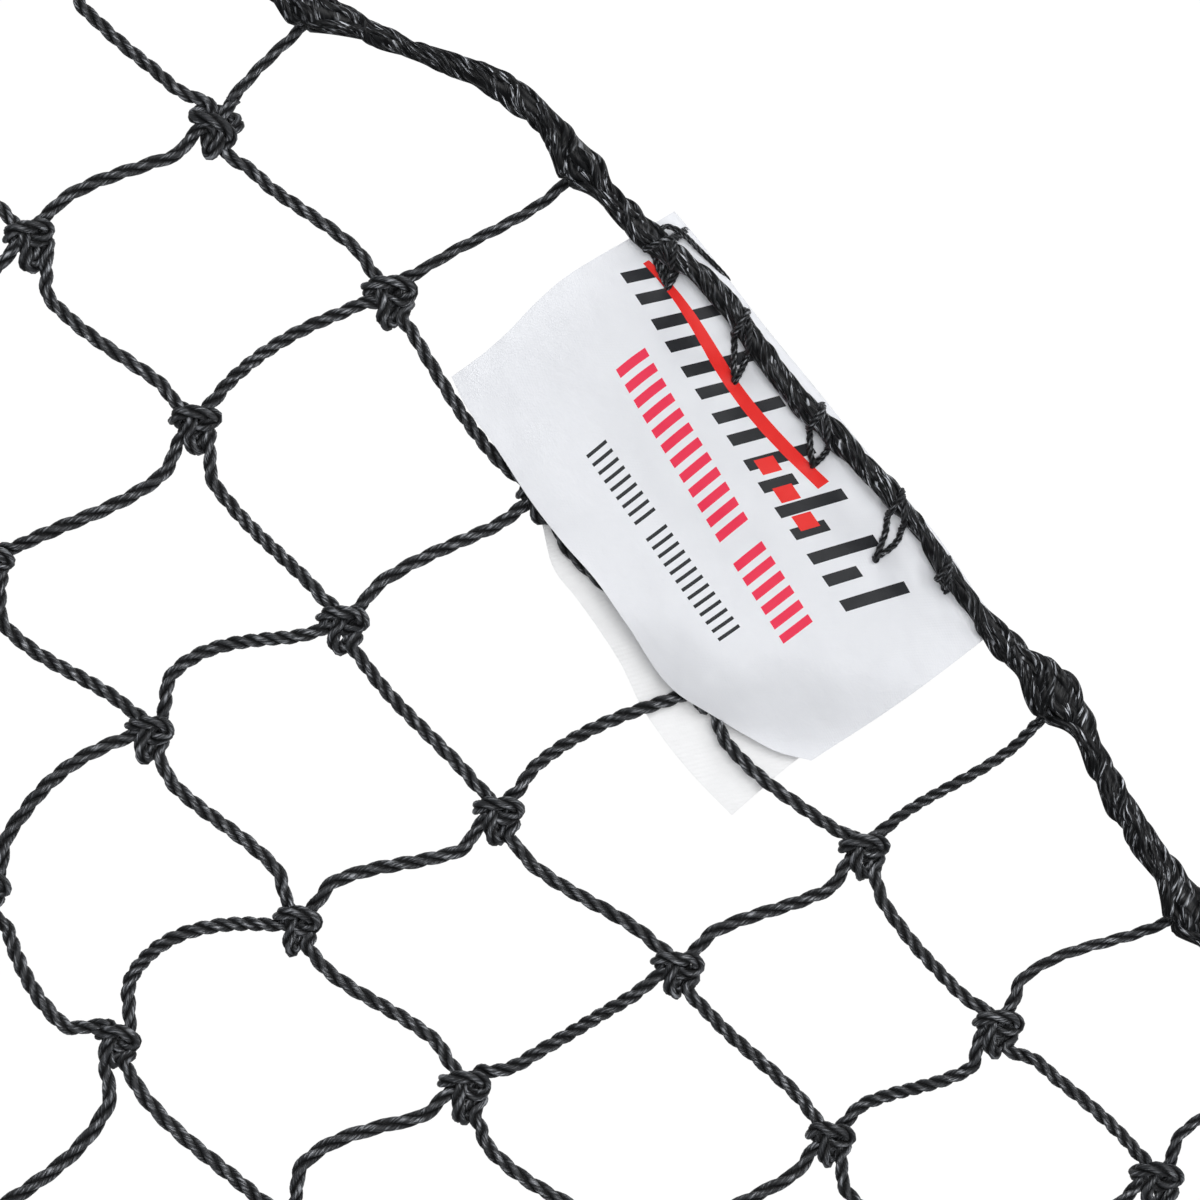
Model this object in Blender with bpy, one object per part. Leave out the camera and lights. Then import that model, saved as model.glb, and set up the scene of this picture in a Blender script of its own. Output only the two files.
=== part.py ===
"""Hockey goal net, full size, in the shape that its goal frame holds it.

The net is one open wedge of square-hung knotted netting: a flat top, a leaning
back and two sides.  Border ropes run round its mouth and its base, seam cords
join its panels, and a folded woven label is sewn to the rope over the mouth.

Units are metres.  X runs across the mouth, Y from the mouth to the back and
Z up.  The net stands on z = 0, with the mouth facing -Y.
"""

import math

import bmesh
import bpy
from mathutils import Matrix, Vector

# Netting
MESH = 0.0381
MESHES_ACROSS = 48
MESHES_HIGH = 32
MESHES_TOP_DEPTH = 12
MESHES_BASE_DEPTH = 28
TWINE_RADIUS = 0.00115
TWINE_BEND = 0.004

# Ropes, seam cords and the lashings where they meet
BORDER_RADIUS = 0.0027
SEAM_RADIUS = 0.0019
MOUTH_LASHING_RADIUS = 0.009
REAR_LASHING_RADIUS = 0.006
BASE_LASHING_RADIUS = 0.007
ROPE_SIDES_RESOLUTION = 4
TWINE_SIDES_RESOLUTION = 1
FAR_TWINE_SIDES_RESOLUTION = 0

# Clearance that keeps touching pieces apart
GAP = 0.0003

# Label: a woven tape folded round the netting's edge under the mouth rope
LABEL_LENGTH = 0.082
LABEL_CENTRE = 0.0100
LABEL_THICKNESS = 0.0004
LABEL_FOLD_LINE = -0.0020
LABEL_CREASE_LINE = 0.0090
LABEL_FRONT_REACH = 0.0385
LABEL_BACK_REACH = 0.0490
LABEL_CREASE_GAP = 0.0007

# Stitches that hold the label to the rope
STITCH_RADIUS = 0.00085
STITCH_SHARES = (0.389, 0.156, -0.070, -0.290, -0.424)
STITCH_LINE = 0.0052
STITCH_SPREAD = 0.0030
SLOT_MARGIN = 0.0005

# How the slack netting lies by the label.  Columns count from the middle of the
# net towards +X and rows count from the mouth.  Each knot has its place across
# the net and its depth behind the mouth.
ROPE_WANDER = (
    (-0.160, 0.0000), (-0.130, 0.0015), (-0.105, 0.0055), (-0.092, 0.0063),
    (-0.083, 0.0051), (-0.074, 0.0041), (-0.065, 0.0024), (-0.059, 0.0008),
    (-0.053, -0.0010), (-0.047, -0.0010), (-0.041, -0.0005), (-0.035, -0.0002),
    (-0.026, -0.0008), (-0.017, -0.0015), (-0.008, -0.0020), (0.004, -0.0019),
    (0.016, -0.0016), (0.025, -0.0019), (0.034, -0.0021), (0.043, -0.0016),
    (0.052, -0.0006), (0.061, -0.0003), (0.070, -0.0004), (0.076, -0.0002),
    (0.082, 0.0013), (0.088, 0.0037), (0.094, 0.0070), (0.100, 0.0100),
    (0.106, 0.0128), (0.112, 0.0158), (0.122, 0.0180), (0.140, 0.0160),
    (0.174, 0.0070), (0.210, 0.0000),
)
TIE_PLACES = {3: 0.1097, 2: 0.0640, 1: 0.0290, 0: -0.0085, -1: -0.0496, -2: -0.0871}
KNOT_PLACES = {
    (3, 1): (0.1081, 0.0381), (2, 1): (0.0690, 0.0363), (1, 1): (0.0298, 0.0406),
    (0, 1): (-0.0105, 0.0430), (-1, 1): (-0.0465, 0.0371), (-2, 1): (-0.0823, 0.0409),
    (-3, 1): (-0.1170, 0.0376),
    (3, 2): (0.1136, 0.0731), (2, 2): (0.0742, 0.0728), (1, 2): (0.0349, 0.0764),
    (0, 2): (-0.0042, 0.0777), (-1, 2): (-0.0412, 0.0729), (-2, 2): (-0.0775, 0.0726),
    (2, 3): (0.0788, 0.1092), (1, 3): (0.0421, 0.1109), (0, 3): (0.0041, 0.1134),
    (-1, 3): (-0.0332, 0.1108),
    (1, 4): (0.0390, 0.1444), (0, 4): (0.0090, 0.1465), (-1, 4): (-0.0268, 0.1443),
}
SLACK_FADE = 0.045
SLACK_BACKGROUND = 0.2
SLACK_COLUMNS = 6
SLACK_ROWS = 7

# Sizes that follow from those above
MOUTH_WIDTH = MESHES_ACROSS * MESH
MOUTH_HEIGHT = MESHES_HIGH * MESH
TOP_DEPTH = MESHES_TOP_DEPTH * MESH
BASE_DEPTH = MESHES_BASE_DEPTH * MESH
MOUTH_Y = -(BASE_DEPTH - MOUTH_LASHING_RADIUS + BASE_LASHING_RADIUS) / 2
HALF_WIDTH = MOUTH_WIDTH / 2
ROPE_SIDES = 4 + 2 * ROPE_SIDES_RESOLUTION
BASE_Z = BORDER_RADIUS * math.cos(math.pi / ROPE_SIDES)
LEAN = math.atan2(BASE_DEPTH - TOP_DEPTH, MOUTH_HEIGHT - BASE_Z)
SLOPE_LENGTH = math.hypot(BASE_DEPTH - TOP_DEPTH, MOUTH_HEIGHT - BASE_Z)
TWINE_OFFSET = TWINE_RADIUS + GAP / 2
SEAM_INSET = SEAM_RADIUS + TWINE_RADIUS + GAP
BORDER_INSET = BORDER_RADIUS + TWINE_RADIUS + GAP
LABEL_LIFT = TWINE_OFFSET + TWINE_RADIUS + GAP + LABEL_THICKNESS / 2
ROPE_LIFT = TWINE_OFFSET + TWINE_RADIUS + GAP + BORDER_RADIUS
ROPE_LIFT_ON_LABEL = LABEL_LIFT + LABEL_THICKNESS / 2 + GAP + BORDER_RADIUS
STITCH_PLACES = [LABEL_CENTRE + share * LABEL_LENGTH for share in STITCH_SHARES]


def clear_scene():
    for item in list(bpy.data.objects):
        bpy.data.objects.remove(item, do_unlink=True)


def make_material(name, colour, roughness):
    material = bpy.data.materials.new(name)
    material.use_nodes = True
    shader = material.node_tree.nodes["Principled BSDF"]
    shader.inputs["Base Color"].default_value = (*colour, 1.0)
    shader.inputs["Roughness"].default_value = roughness
    shader.inputs["Metallic"].default_value = 0.0
    material.diffuse_color = (*colour, 1.0)
    return material


def dark_cord_material(name):
    return make_material(name, (0.02, 0.02, 0.022), 0.5)


def add_object(name, data, material):
    data.materials.append(material)
    item = bpy.data.objects.new(name, data)
    bpy.context.scene.collection.objects.link(item)
    return item


def add_cord(name, points, radius, resolution, closed=False, tilt=0.0, swell=None):
    """A round cord swept along a list of points, with flat ends."""
    curve = bpy.data.curves.new(name, "CURVE")
    curve.dimensions = "3D"
    curve.bevel_depth = radius
    curve.bevel_resolution = resolution
    curve.use_fill_caps = not closed
    spline = curve.splines.new("POLY")
    spline.points.add(len(points) - 1)
    spline.use_cyclic_u = closed
    for index, place in enumerate(points):
        spline.points[index].co = (*place, 1.0)
        spline.points[index].tilt = tilt
        spline.points[index].radius = swell[index] if swell else 1.0
    spline.use_smooth = True
    return add_object(name, curve, dark_cord_material(name + "_black"))


def rounded_route(corners, radius, step=math.radians(45)):
    """Rounds the sharp corners of a route that is a list of 2D points."""
    route = [corners[0]]
    for before, corner, after in zip(corners, corners[1:], corners[2:]):
        inward = (Vector(before) - Vector(corner)).normalized()
        outward = (Vector(after) - Vector(corner)).normalized()
        turn = math.pi - inward.angle(outward)
        if turn < math.radians(30):
            route.append(corner)
            continue
        reach = radius * math.tan(turn / 2)
        centre_way = (inward + outward).normalized()
        centre = Vector(corner) + centre_way * math.hypot(radius, reach)
        first = Vector(corner) + inward * reach - centre
        side = 1.0 if inward.cross(outward) < 0 else -1.0
        count = max(2, math.ceil(turn / step))
        for index in range(count):
            angle = side * turn * index / (count - 1)
            spoke = Matrix.Rotation(angle, 2) @ first
            route.append(tuple(centre + spoke))
    route.append(corners[-1])
    return route


def serpentine(runs):
    """Joins parallel runs into one twine that goes to and fro."""
    corners = []
    for index, run in enumerate(runs):
        corners.extend(run if index % 2 == 0 else reversed(run))
    return rounded_route(corners, TWINE_BEND)


def hermite(points, x):
    """A smooth curve through hand-chosen (x, value) points, level past its ends."""
    if x <= points[0][0]:
        return points[0][1]
    if x >= points[-1][0]:
        return points[-1][1]
    last = len(points) - 1
    index = max(i for i in range(last) if points[i][0] <= x)

    def slope(i):
        if i == 0 or i == last:
            return 0.0
        rise = points[i + 1][1] - points[i - 1][1]
        return rise / (points[i + 1][0] - points[i - 1][0])

    x0, y0 = points[index]
    x1, y1 = points[index + 1]
    width = x1 - x0
    t = (x - x0) / width
    value = y0 * (1 + 2 * t) * (1 - t) ** 2 + y1 * t * t * (3 - 2 * t)
    return value + width * (slope(index) * t * (1 - t) ** 2 - slope(index + 1) * t * t * (1 - t))


def rope_depth(x):
    """How far behind the mouth line the top rope wanders."""
    return hermite(ROPE_WANDER, x)


def rope_lift(x):
    """Height of the top rope's axis over the netting, a little more on the label."""
    past_label = abs(x - LABEL_CENTRE) - LABEL_LENGTH / 2 - BORDER_RADIUS
    share = min(1.0, max(0.0, 1.0 - past_label / (3 * BORDER_RADIUS)))
    ease = share * share * (3 - 2 * share)
    return ROPE_LIFT + (ROPE_LIFT_ON_LABEL - ROPE_LIFT) * ease


def tie_place(column):
    """Where a lengthwise twine turns under the top rope."""
    x = TIE_PLACES.get(column, column * MESH + knot_shift(column * MESH, 0.0)[0])
    under_label = abs(x - LABEL_CENTRE) < LABEL_LENGTH / 2
    return x, LABEL_FOLD_LINE if under_label else rope_depth(x)


def knot_shift(x, depth):
    """How slack moves a knot, fading away from the knots whose places are known."""
    total = SLACK_BACKGROUND
    shift = Vector((0.0, 0.0))
    for (column, row), place in KNOT_PLACES.items():
        home = Vector((column * MESH, row * MESH))
        weight = math.exp(-((home - Vector((x, depth))).length / SLACK_FADE) ** 2)
        shift += weight * (Vector(place) - home)
        total += weight
    return tuple(shift / total)


def knot_place(column, row):
    """Where the knot of one column and row of the top panel lies."""
    if (column, row) in KNOT_PLACES:
        return KNOT_PLACES[(column, row)]
    x = column * MESH
    depth = row * MESH
    shift = knot_shift(x, depth)
    return x + shift[0], depth + shift[1]


def top_panel_point(place, offset):
    return Vector((place[0], MOUTH_Y + place[1], MOUTH_HEIGHT + offset))


def back_panel_point(place, offset):
    edge = Vector((place[0], MOUTH_Y + TOP_DEPTH, MOUTH_HEIGHT))
    down = Vector((0.0, math.sin(LEAN), -math.cos(LEAN)))
    outward = Vector((0.0, math.cos(LEAN), math.sin(LEAN)))
    return edge + down * place[1] + outward * offset


def side_panel_point(place, offset, side):
    return Vector((side * (HALF_WIDTH + offset), MOUTH_Y + place[0], place[1]))


def add_netting(name, runs, placing, offset, resolution):
    points = [placing(place, offset) for place in serpentine(runs)]
    return add_cord(name, points, TWINE_RADIUS, resolution)


def add_top_netting():
    """The flat top, with its slack near the label."""
    columns = range(-MESHES_ACROSS // 2 + 1, MESHES_ACROSS // 2)
    lengthwise = []
    for column in columns:
        run = [tie_place(column)]
        if abs(column) <= SLACK_COLUMNS:
            run += [knot_place(column, row) for row in range(1, SLACK_ROWS)]
        run.append((column * MESH, TOP_DEPTH - SEAM_INSET))
        lengthwise.append(run)
    add_netting("netting_top_lengthwise", lengthwise, top_panel_point, TWINE_OFFSET,
                TWINE_SIDES_RESOLUTION)

    crosswise = []
    for row in range(1, MESHES_TOP_DEPTH):
        run = [(-HALF_WIDTH + SEAM_INSET, row * MESH)]
        if row < SLACK_ROWS:
            run += [knot_place(column, row)
                    for column in range(-SLACK_COLUMNS, SLACK_COLUMNS + 1)]
        run.append((HALF_WIDTH - SEAM_INSET, row * MESH))
        crosswise.append(run)
    add_netting("netting_top_crosswise", crosswise, top_panel_point, -TWINE_OFFSET,
                TWINE_SIDES_RESOLUTION)


def add_back_netting():
    """The leaning back, from the rear seam down to the base rope."""
    low = SLOPE_LENGTH - BORDER_INSET
    lengthwise = [[(column * MESH, SEAM_INSET), (column * MESH, low)]
                  for column in range(-MESHES_ACROSS // 2 + 1, MESHES_ACROSS // 2)]
    add_netting("netting_back_lengthwise", lengthwise, back_panel_point, TWINE_OFFSET,
                FAR_TWINE_SIDES_RESOLUTION)

    rows = round(SLOPE_LENGTH / MESH)
    spacing = SLOPE_LENGTH / rows
    reach = HALF_WIDTH - SEAM_INSET
    crosswise = [[(-reach, row * spacing), (reach, row * spacing)]
                 for row in range(1, rows)]
    add_netting("netting_back_crosswise", crosswise, back_panel_point, -TWINE_OFFSET,
                FAR_TWINE_SIDES_RESOLUTION)


def add_side_netting(side_name, side):
    """One side: a wedge between the mouth rope, the top seam and the rear seam."""
    def placing(place, offset):
        return side_panel_point(place, offset, side)

    rear_line = BASE_DEPTH - SEAM_INSET / math.cos(LEAN)
    upright = []
    for column in range(1, MESHES_BASE_DEPTH):
        depth = column * MESH
        slanted_top = BASE_Z + (rear_line - depth) / math.tan(LEAN)
        top = min(MOUTH_HEIGHT - SEAM_INSET, slanted_top)
        upright.append([(depth, BASE_Z + BORDER_INSET), (depth, top)])
    add_netting(f"netting_{side_name}_upright", upright, placing, TWINE_OFFSET,
                FAR_TWINE_SIDES_RESOLUTION)

    level = []
    spacing = (MOUTH_HEIGHT - BASE_Z) / MESHES_HIGH
    for row in range(1, MESHES_HIGH):
        height = BASE_Z + row * spacing
        rear = rear_line - (height - BASE_Z) * math.tan(LEAN)
        level.append([(BORDER_INSET, height), (rear, height)])
    add_netting(f"netting_{side_name}_level", level, placing, -TWINE_OFFSET,
                FAR_TWINE_SIDES_RESOLUTION)


def lashing_places():
    """Name, centre and radius of the lashing at each corner of the net."""
    places = {}
    for side_name, side in (("left", -1), ("right", 1)):
        x = side * HALF_WIDTH
        places["mouth_top_" + side_name] = (
            Vector((x, MOUTH_Y, MOUTH_HEIGHT + ROPE_LIFT / 2)), MOUTH_LASHING_RADIUS)
        places["rear_top_" + side_name] = (
            Vector((x, MOUTH_Y + TOP_DEPTH, MOUTH_HEIGHT)), REAR_LASHING_RADIUS)
        places["mouth_base_" + side_name] = (
            Vector((x, MOUTH_Y, BASE_LASHING_RADIUS)), BASE_LASHING_RADIUS)
        places["rear_base_" + side_name] = (
            Vector((x, MOUTH_Y + BASE_DEPTH, BASE_LASHING_RADIUS)), BASE_LASHING_RADIUS)
    return places


def add_lashings(places):
    """The lump of wound twine that ties the cords together at a corner."""
    for name, (centre, radius) in places.items():
        mesh = bpy.data.meshes.new("lashing_" + name)
        shape = bmesh.new()
        bmesh.ops.create_uvsphere(shape, u_segments=12, v_segments=8, radius=radius)
        shape.to_mesh(mesh)
        shape.free()
        mesh.shade_smooth()
        item = add_object("lashing_" + name, mesh, dark_cord_material("lashing_" + name))
        item.location = centre


def trimmed(start, end, start_lashing, end_lashing):
    """Shortens a straight cord so that its ends stay just clear of two lashings."""
    way = (end - start).normalized()
    start_centre, start_radius = start_lashing
    end_centre, end_radius = end_lashing
    near = (start_centre - start).dot(way) + start_radius + GAP
    far = (end - end_centre).dot(way) + end_radius + GAP
    return [start + way * near, end - way * far]


def add_straight_cords(places):
    """The side and base ropes and the seam cords, each between two lashings."""
    mouth_top = Vector((0.0, MOUTH_Y, MOUTH_HEIGHT))
    rear_top = Vector((0.0, MOUTH_Y + TOP_DEPTH, MOUTH_HEIGHT))
    mouth_base = Vector((0.0, MOUTH_Y, BASE_Z))
    rear_base = Vector((0.0, MOUTH_Y + BASE_DEPTH, BASE_Z))
    flat_below = math.pi / ROPE_SIDES

    for side_name, side in (("left", -1), ("right", 1)):
        across = Vector((side * HALF_WIDTH, 0.0, 0.0))
        lines = (
            ("mouth_rope_" + side_name, mouth_base, "mouth_base_", mouth_top, "mouth_top_",
             BORDER_RADIUS),
            ("base_rope_" + side_name, mouth_base, "mouth_base_", rear_base, "rear_base_",
             BORDER_RADIUS),
            ("seam_cord_top_" + side_name, mouth_top, "mouth_top_", rear_top, "rear_top_",
             SEAM_RADIUS),
            ("seam_cord_rear_" + side_name, rear_base, "rear_base_", rear_top, "rear_top_",
             SEAM_RADIUS),
        )
        for name, start, start_name, end, end_name, radius in lines:
            points = trimmed(start + across, end + across,
                             places[start_name + side_name], places[end_name + side_name])
            add_cord(name, points, radius, ROPE_SIDES_RESOLUTION, tilt=flat_below)

    lines = (
        ("base_rope_rear", rear_base, "rear_base_", BORDER_RADIUS),
        ("seam_cord_top_rear", rear_top, "rear_top_", SEAM_RADIUS),
    )
    for name, middle, place_name, radius in lines:
        across = Vector((HALF_WIDTH, 0.0, 0.0))
        points = trimmed(middle - across, middle + across,
                         places[place_name + "left"], places[place_name + "right"])
        add_cord(name, points, radius, ROPE_SIDES_RESOLUTION, tilt=flat_below)


def add_mouth_rope():
    """The rope over the mouth, which lies on the netting's edge and on the label."""
    reach = HALF_WIDTH - MOUTH_LASHING_RADIUS - GAP
    first = ROPE_WANDER[0][0]
    last = ROPE_WANDER[-1][0]
    spacing = 2.2 * BORDER_RADIUS
    count = round((last - first) / spacing)
    places = [-reach]
    places += [first + (last - first) * index / count for index in range(count + 1)]
    places.append(reach)
    points = [top_panel_point((x, rope_depth(x)), rope_lift(x)) for x in places]
    add_cord("mouth_rope_top", points, BORDER_RADIUS, ROPE_SIDES_RESOLUTION)


def tape_sheet(name, path, slots=()):
    """A piece of the label's tape: a thin sheet along a path of (depth, height)."""
    mesh = bpy.data.meshes.new(name)
    shape = bmesh.new()
    rows = []
    for x in (LABEL_CENTRE - LABEL_LENGTH / 2, LABEL_CENTRE + LABEL_LENGTH / 2):
        rows.append([shape.verts.new(top_panel_point((x, depth), height))
                     for depth, height in path])
    for index in range(len(path) - 1):
        shape.faces.new((rows[0][index], rows[1][index],
                         rows[1][index + 1], rows[0][index + 1]))
    shape.to_mesh(mesh)
    shape.free()
    mesh.shade_smooth()
    material = make_material(name + "_tape", (0.85, 0.86, 0.89), 0.45)
    item = add_object(name, mesh, material)
    thickness = item.modifiers.new("tape_thickness", "SOLIDIFY")
    thickness.thickness = LABEL_THICKNESS
    thickness.offset = 0.0
    thickness.use_even_offset = True
    for slot in slots:
        cut = item.modifiers.new("slot", "BOOLEAN")
        cut.operation = "DIFFERENCE"
        cut.solver = "EXACT"
        cut.object = slot
    return item


def add_slot_cutter(x):
    """The hole through both layers of tape that one stitch passes through."""
    mesh = bpy.data.meshes.new("slot_cutter")
    shape = bmesh.new()
    bmesh.ops.create_cube(shape, size=1.0)
    length = 4 * STITCH_RADIUS + 3 * SLOT_MARGIN
    width = 2 * STITCH_RADIUS + 2 * SLOT_MARGIN
    bmesh.ops.scale(shape, vec=(length, width, 4 * LABEL_LIFT), verts=shape.verts)
    shape.to_mesh(mesh)
    shape.free()
    cutter = bpy.data.objects.new("slot_cutter", mesh)
    cutter.location = top_panel_point((x, STITCH_LINE), 0.0)
    cutter.hide_render = True
    cutter.display_type = "WIRE"
    bpy.context.scene.collection.objects.link(cutter)
    return cutter


def add_label():
    """The folded tape up to its creases, and the two flaps that swing on them."""
    crease_edge = LABEL_CREASE_LINE - LABEL_CREASE_GAP / 2
    path = [(crease_edge, LABEL_LIFT)]
    fold_steps = 10
    for index in range(fold_steps + 1):
        angle = math.pi * index / fold_steps
        path.append((LABEL_FOLD_LINE - LABEL_LIFT * math.sin(angle),
                     LABEL_LIFT * math.cos(angle)))
    path.append((crease_edge, -LABEL_LIFT))
    slots = [add_slot_cutter(x) for x in STITCH_PLACES]
    tape_sheet("label_fold", path, slots)

    flap_edge = LABEL_CREASE_LINE + LABEL_CREASE_GAP / 2
    for name, reach, height in (("label_front_flap", LABEL_FRONT_REACH, LABEL_LIFT),
                                ("label_back_flap", LABEL_BACK_REACH, -LABEL_LIFT)):
        tape_sheet(name, [(flap_edge, height), (reach, height)])


def add_stitches():
    """Five loops of thin twine, each in a V from one slot over the mouth rope."""
    for number, x in enumerate(STITCH_PLACES, start=1):
        axis_depth = rope_depth(x)
        axis_height = rope_lift(x)
        clear = BORDER_RADIUS + STITCH_RADIUS + GAP
        leg = STITCH_RADIUS + SLOT_MARGIN / 2
        below = LABEL_LIFT + LABEL_THICKNESS / 2 + STITCH_RADIUS + GAP
        outside = LABEL_FOLD_LINE - below
        half = [(leg, STITCH_LINE, -below + STITCH_RADIUS), (leg, STITCH_LINE, below)]
        for degrees in range(0, 181, 30):
            angle = math.radians(degrees)
            share = min(1.0, (degrees + 30) / 90)
            half.append((leg + (STITCH_SPREAD - leg) * share,
                         axis_depth + clear * math.cos(angle),
                         axis_height + clear * math.sin(angle)))
        half.append((STITCH_SPREAD * 0.8, outside, below))
        half.append((leg, outside, 0.0))
        loop = [(x, STITCH_LINE, -below)]
        loop += [(x + across, depth, height) for across, depth, height in half]
        loop.append((x, outside, -leg))
        loop += [(x - across, depth, height) for across, depth, height in reversed(half)]
        points = [top_panel_point((place[0], place[1]), place[2]) for place in loop]
        add_cord(f"label_stitch_{number}", points, STITCH_RADIUS, 1, closed=True)


clear_scene()
corner_places = lashing_places()
add_top_netting()
add_back_netting()
add_side_netting("left", -1)
add_side_netting("right", 1)
add_lashings(corner_places)
add_straight_cords(corner_places)
add_mouth_rope()
add_label()
add_stitches()
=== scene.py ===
# A full-size hockey goal net, dressed on its CAD solids.  The camera looks straight
# down on the top panel where the folded label is stitched to the mouth rope.

import math

import bpy
import numpy as np
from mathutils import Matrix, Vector


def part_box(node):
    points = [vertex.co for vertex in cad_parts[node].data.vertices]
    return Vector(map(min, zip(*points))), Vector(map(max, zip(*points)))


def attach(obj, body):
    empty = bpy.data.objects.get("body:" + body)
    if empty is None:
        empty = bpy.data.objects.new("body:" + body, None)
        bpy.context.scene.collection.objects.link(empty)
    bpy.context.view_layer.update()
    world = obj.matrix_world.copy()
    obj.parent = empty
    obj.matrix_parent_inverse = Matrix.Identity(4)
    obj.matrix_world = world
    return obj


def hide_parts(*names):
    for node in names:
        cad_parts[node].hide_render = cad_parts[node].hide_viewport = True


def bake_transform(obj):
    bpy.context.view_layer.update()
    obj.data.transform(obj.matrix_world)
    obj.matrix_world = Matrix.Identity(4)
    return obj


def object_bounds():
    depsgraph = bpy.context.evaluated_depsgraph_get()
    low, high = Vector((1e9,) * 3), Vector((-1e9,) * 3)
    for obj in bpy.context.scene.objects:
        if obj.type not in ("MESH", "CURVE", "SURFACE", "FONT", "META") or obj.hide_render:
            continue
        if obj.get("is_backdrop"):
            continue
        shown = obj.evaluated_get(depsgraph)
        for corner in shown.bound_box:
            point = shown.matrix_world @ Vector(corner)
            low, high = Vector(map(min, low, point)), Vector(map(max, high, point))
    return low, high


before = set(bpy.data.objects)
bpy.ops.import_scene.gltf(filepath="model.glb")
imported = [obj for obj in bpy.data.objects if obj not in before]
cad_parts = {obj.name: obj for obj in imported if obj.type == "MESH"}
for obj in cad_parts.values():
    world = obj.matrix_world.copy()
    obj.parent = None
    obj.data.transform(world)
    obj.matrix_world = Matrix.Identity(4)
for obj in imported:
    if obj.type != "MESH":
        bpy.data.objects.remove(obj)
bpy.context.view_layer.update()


# Camera and light.  The net is seen from 0.9 m above through a long lens, with the
# mouth rope running across the picture's upper right.  Soft boxes hang over a plain
# white floor, which keeps the net's faint shadow.
MOUTH_Y = -0.5324
MOUTH_HEIGHT = 1.2192
CAMERA_OVER_NET = 0.9
PICTURE_MIDDLE = (0.01085, MOUTH_Y + 0.0432)
PICTURE_TURN = 228.5
camera_data = bpy.data.cameras.new("camera")
camera_data.lens = 170.1
camera_data.sensor_width = 36.0
camera_data.clip_start = 0.05
camera_data.clip_end = 50.0
camera = bpy.data.objects.new("camera", camera_data)
camera.location = (*PICTURE_MIDDLE, MOUTH_HEIGHT + CAMERA_OVER_NET)
camera.rotation_euler = (0.0, 0.0, math.radians(PICTURE_TURN))
bpy.context.scene.collection.objects.link(camera)
bpy.context.scene.camera = camera
bpy.context.scene.view_settings.view_transform = "Standard"


def hang_soft_box(name, place, aim, size, watts):
    """A square lamp at a place, turned towards what it lights."""
    lamp = bpy.data.lights.new(name, "AREA")
    lamp.shape = "SQUARE"
    lamp.size = size
    lamp.energy = watts
    item = bpy.data.objects.new(name, lamp)
    item.location = place
    item.rotation_euler = (Vector(aim) - Vector(place)).to_track_quat("-Z", "Y").to_euler()
    bpy.context.scene.collection.objects.link(item)


hang_soft_box("soft_box_over", (0.05, -0.85, 3.2), (0.0, -0.45, 1.2), 1.3, 32.5)
hang_soft_box("soft_box_key", (-0.35, -1.75, 2.75), (0.0, -0.45, 1.2), 0.6, 6.5)
hang_soft_box("soft_box_side", (-1.9, 0.6, 2.6), (0.0, -0.4, 1.1), 0.8, 1.5)
hang_soft_box("soft_box_front", (0.2, -3.6, 1.2), (0.0, 0.0, 0.6), 1.6, 30.0)


def add_node(nodes, kind, values):
    """A new shader node with some of its inputs set, by name."""
    node = nodes.new("ShaderNode" + kind)
    for name, value in values.items():
        node.inputs[name].default_value = value
    return node


# The room lights the net dimly, but the camera sees it pure white.
world = bpy.data.worlds.new("white_room")
bpy.context.scene.world = world
world.use_nodes = True
nodes, links = world.node_tree.nodes, world.node_tree.links
nodes.clear()
seen_by = nodes.new("ShaderNodeLightPath")
room_light = add_node(nodes, "Background", {"Color": (0.95, 0.97, 1.0, 1.0), "Strength": 0.3})
white_wall = add_node(nodes, "Background", {"Color": (1.0, 1.0, 1.0, 1.0), "Strength": 1.0})
choice = nodes.new("ShaderNodeMixShader")
out = nodes.new("ShaderNodeOutputWorld")
links.new(seen_by.outputs["Is Camera Ray"], choice.inputs["Fac"])
links.new(room_light.outputs["Background"], choice.inputs[1])
links.new(white_wall.outputs["Background"], choice.inputs[2])
links.new(choice.outputs["Shader"], out.inputs["Surface"])

bpy.ops.object.select_all(action="DESELECT")
bpy.ops.mesh.primitive_plane_add(size=16.0, location=(0.0, 0.0, 0.0))
floor = bpy.context.object
floor.name = "floor"
floor_paint = bpy.data.materials.new("white_floor")
floor_paint.use_nodes = True
nodes, links = floor_paint.node_tree.nodes, floor_paint.node_tree.links
paint = nodes["Principled BSDF"]
paint.inputs["Base Color"].default_value = (0.9, 0.9, 0.9, 1.0)
paint.inputs["Roughness"].default_value = 0.8
# To the camera the floor is mostly a white glow, so that only a faint shadow shows.
GLOW_SHARE = 0.88
glow = add_node(nodes, "Emission", {"Strength": 1.07})
seen_by = nodes.new("ShaderNodeLightPath")
share = nodes.new("ShaderNodeMath")
share.operation = "MULTIPLY"
share.inputs[1].default_value = GLOW_SHARE
both = nodes.new("ShaderNodeMixShader")
links.new(seen_by.outputs["Is Camera Ray"], share.inputs[0])
links.new(share.outputs["Value"], both.inputs["Fac"])
links.new(paint.outputs["BSDF"], both.inputs[1])
links.new(glow.outputs["Emission"], both.inputs[2])
links.new(both.outputs["Shader"], nodes["Material Output"].inputs["Surface"])
floor.data.materials.append(floor_paint)
floor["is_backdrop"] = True


# Netting by the label.  Three-strand black nylon twine, 2.3 mm thick and laid right-
# handed, is tied in sheet bends: in each knot a bight of one run is caught by the
# next run, which goes between its legs, round them and out beside the bight.
TWINE_RADIUS = 0.00115
MESH = 0.0381
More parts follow.
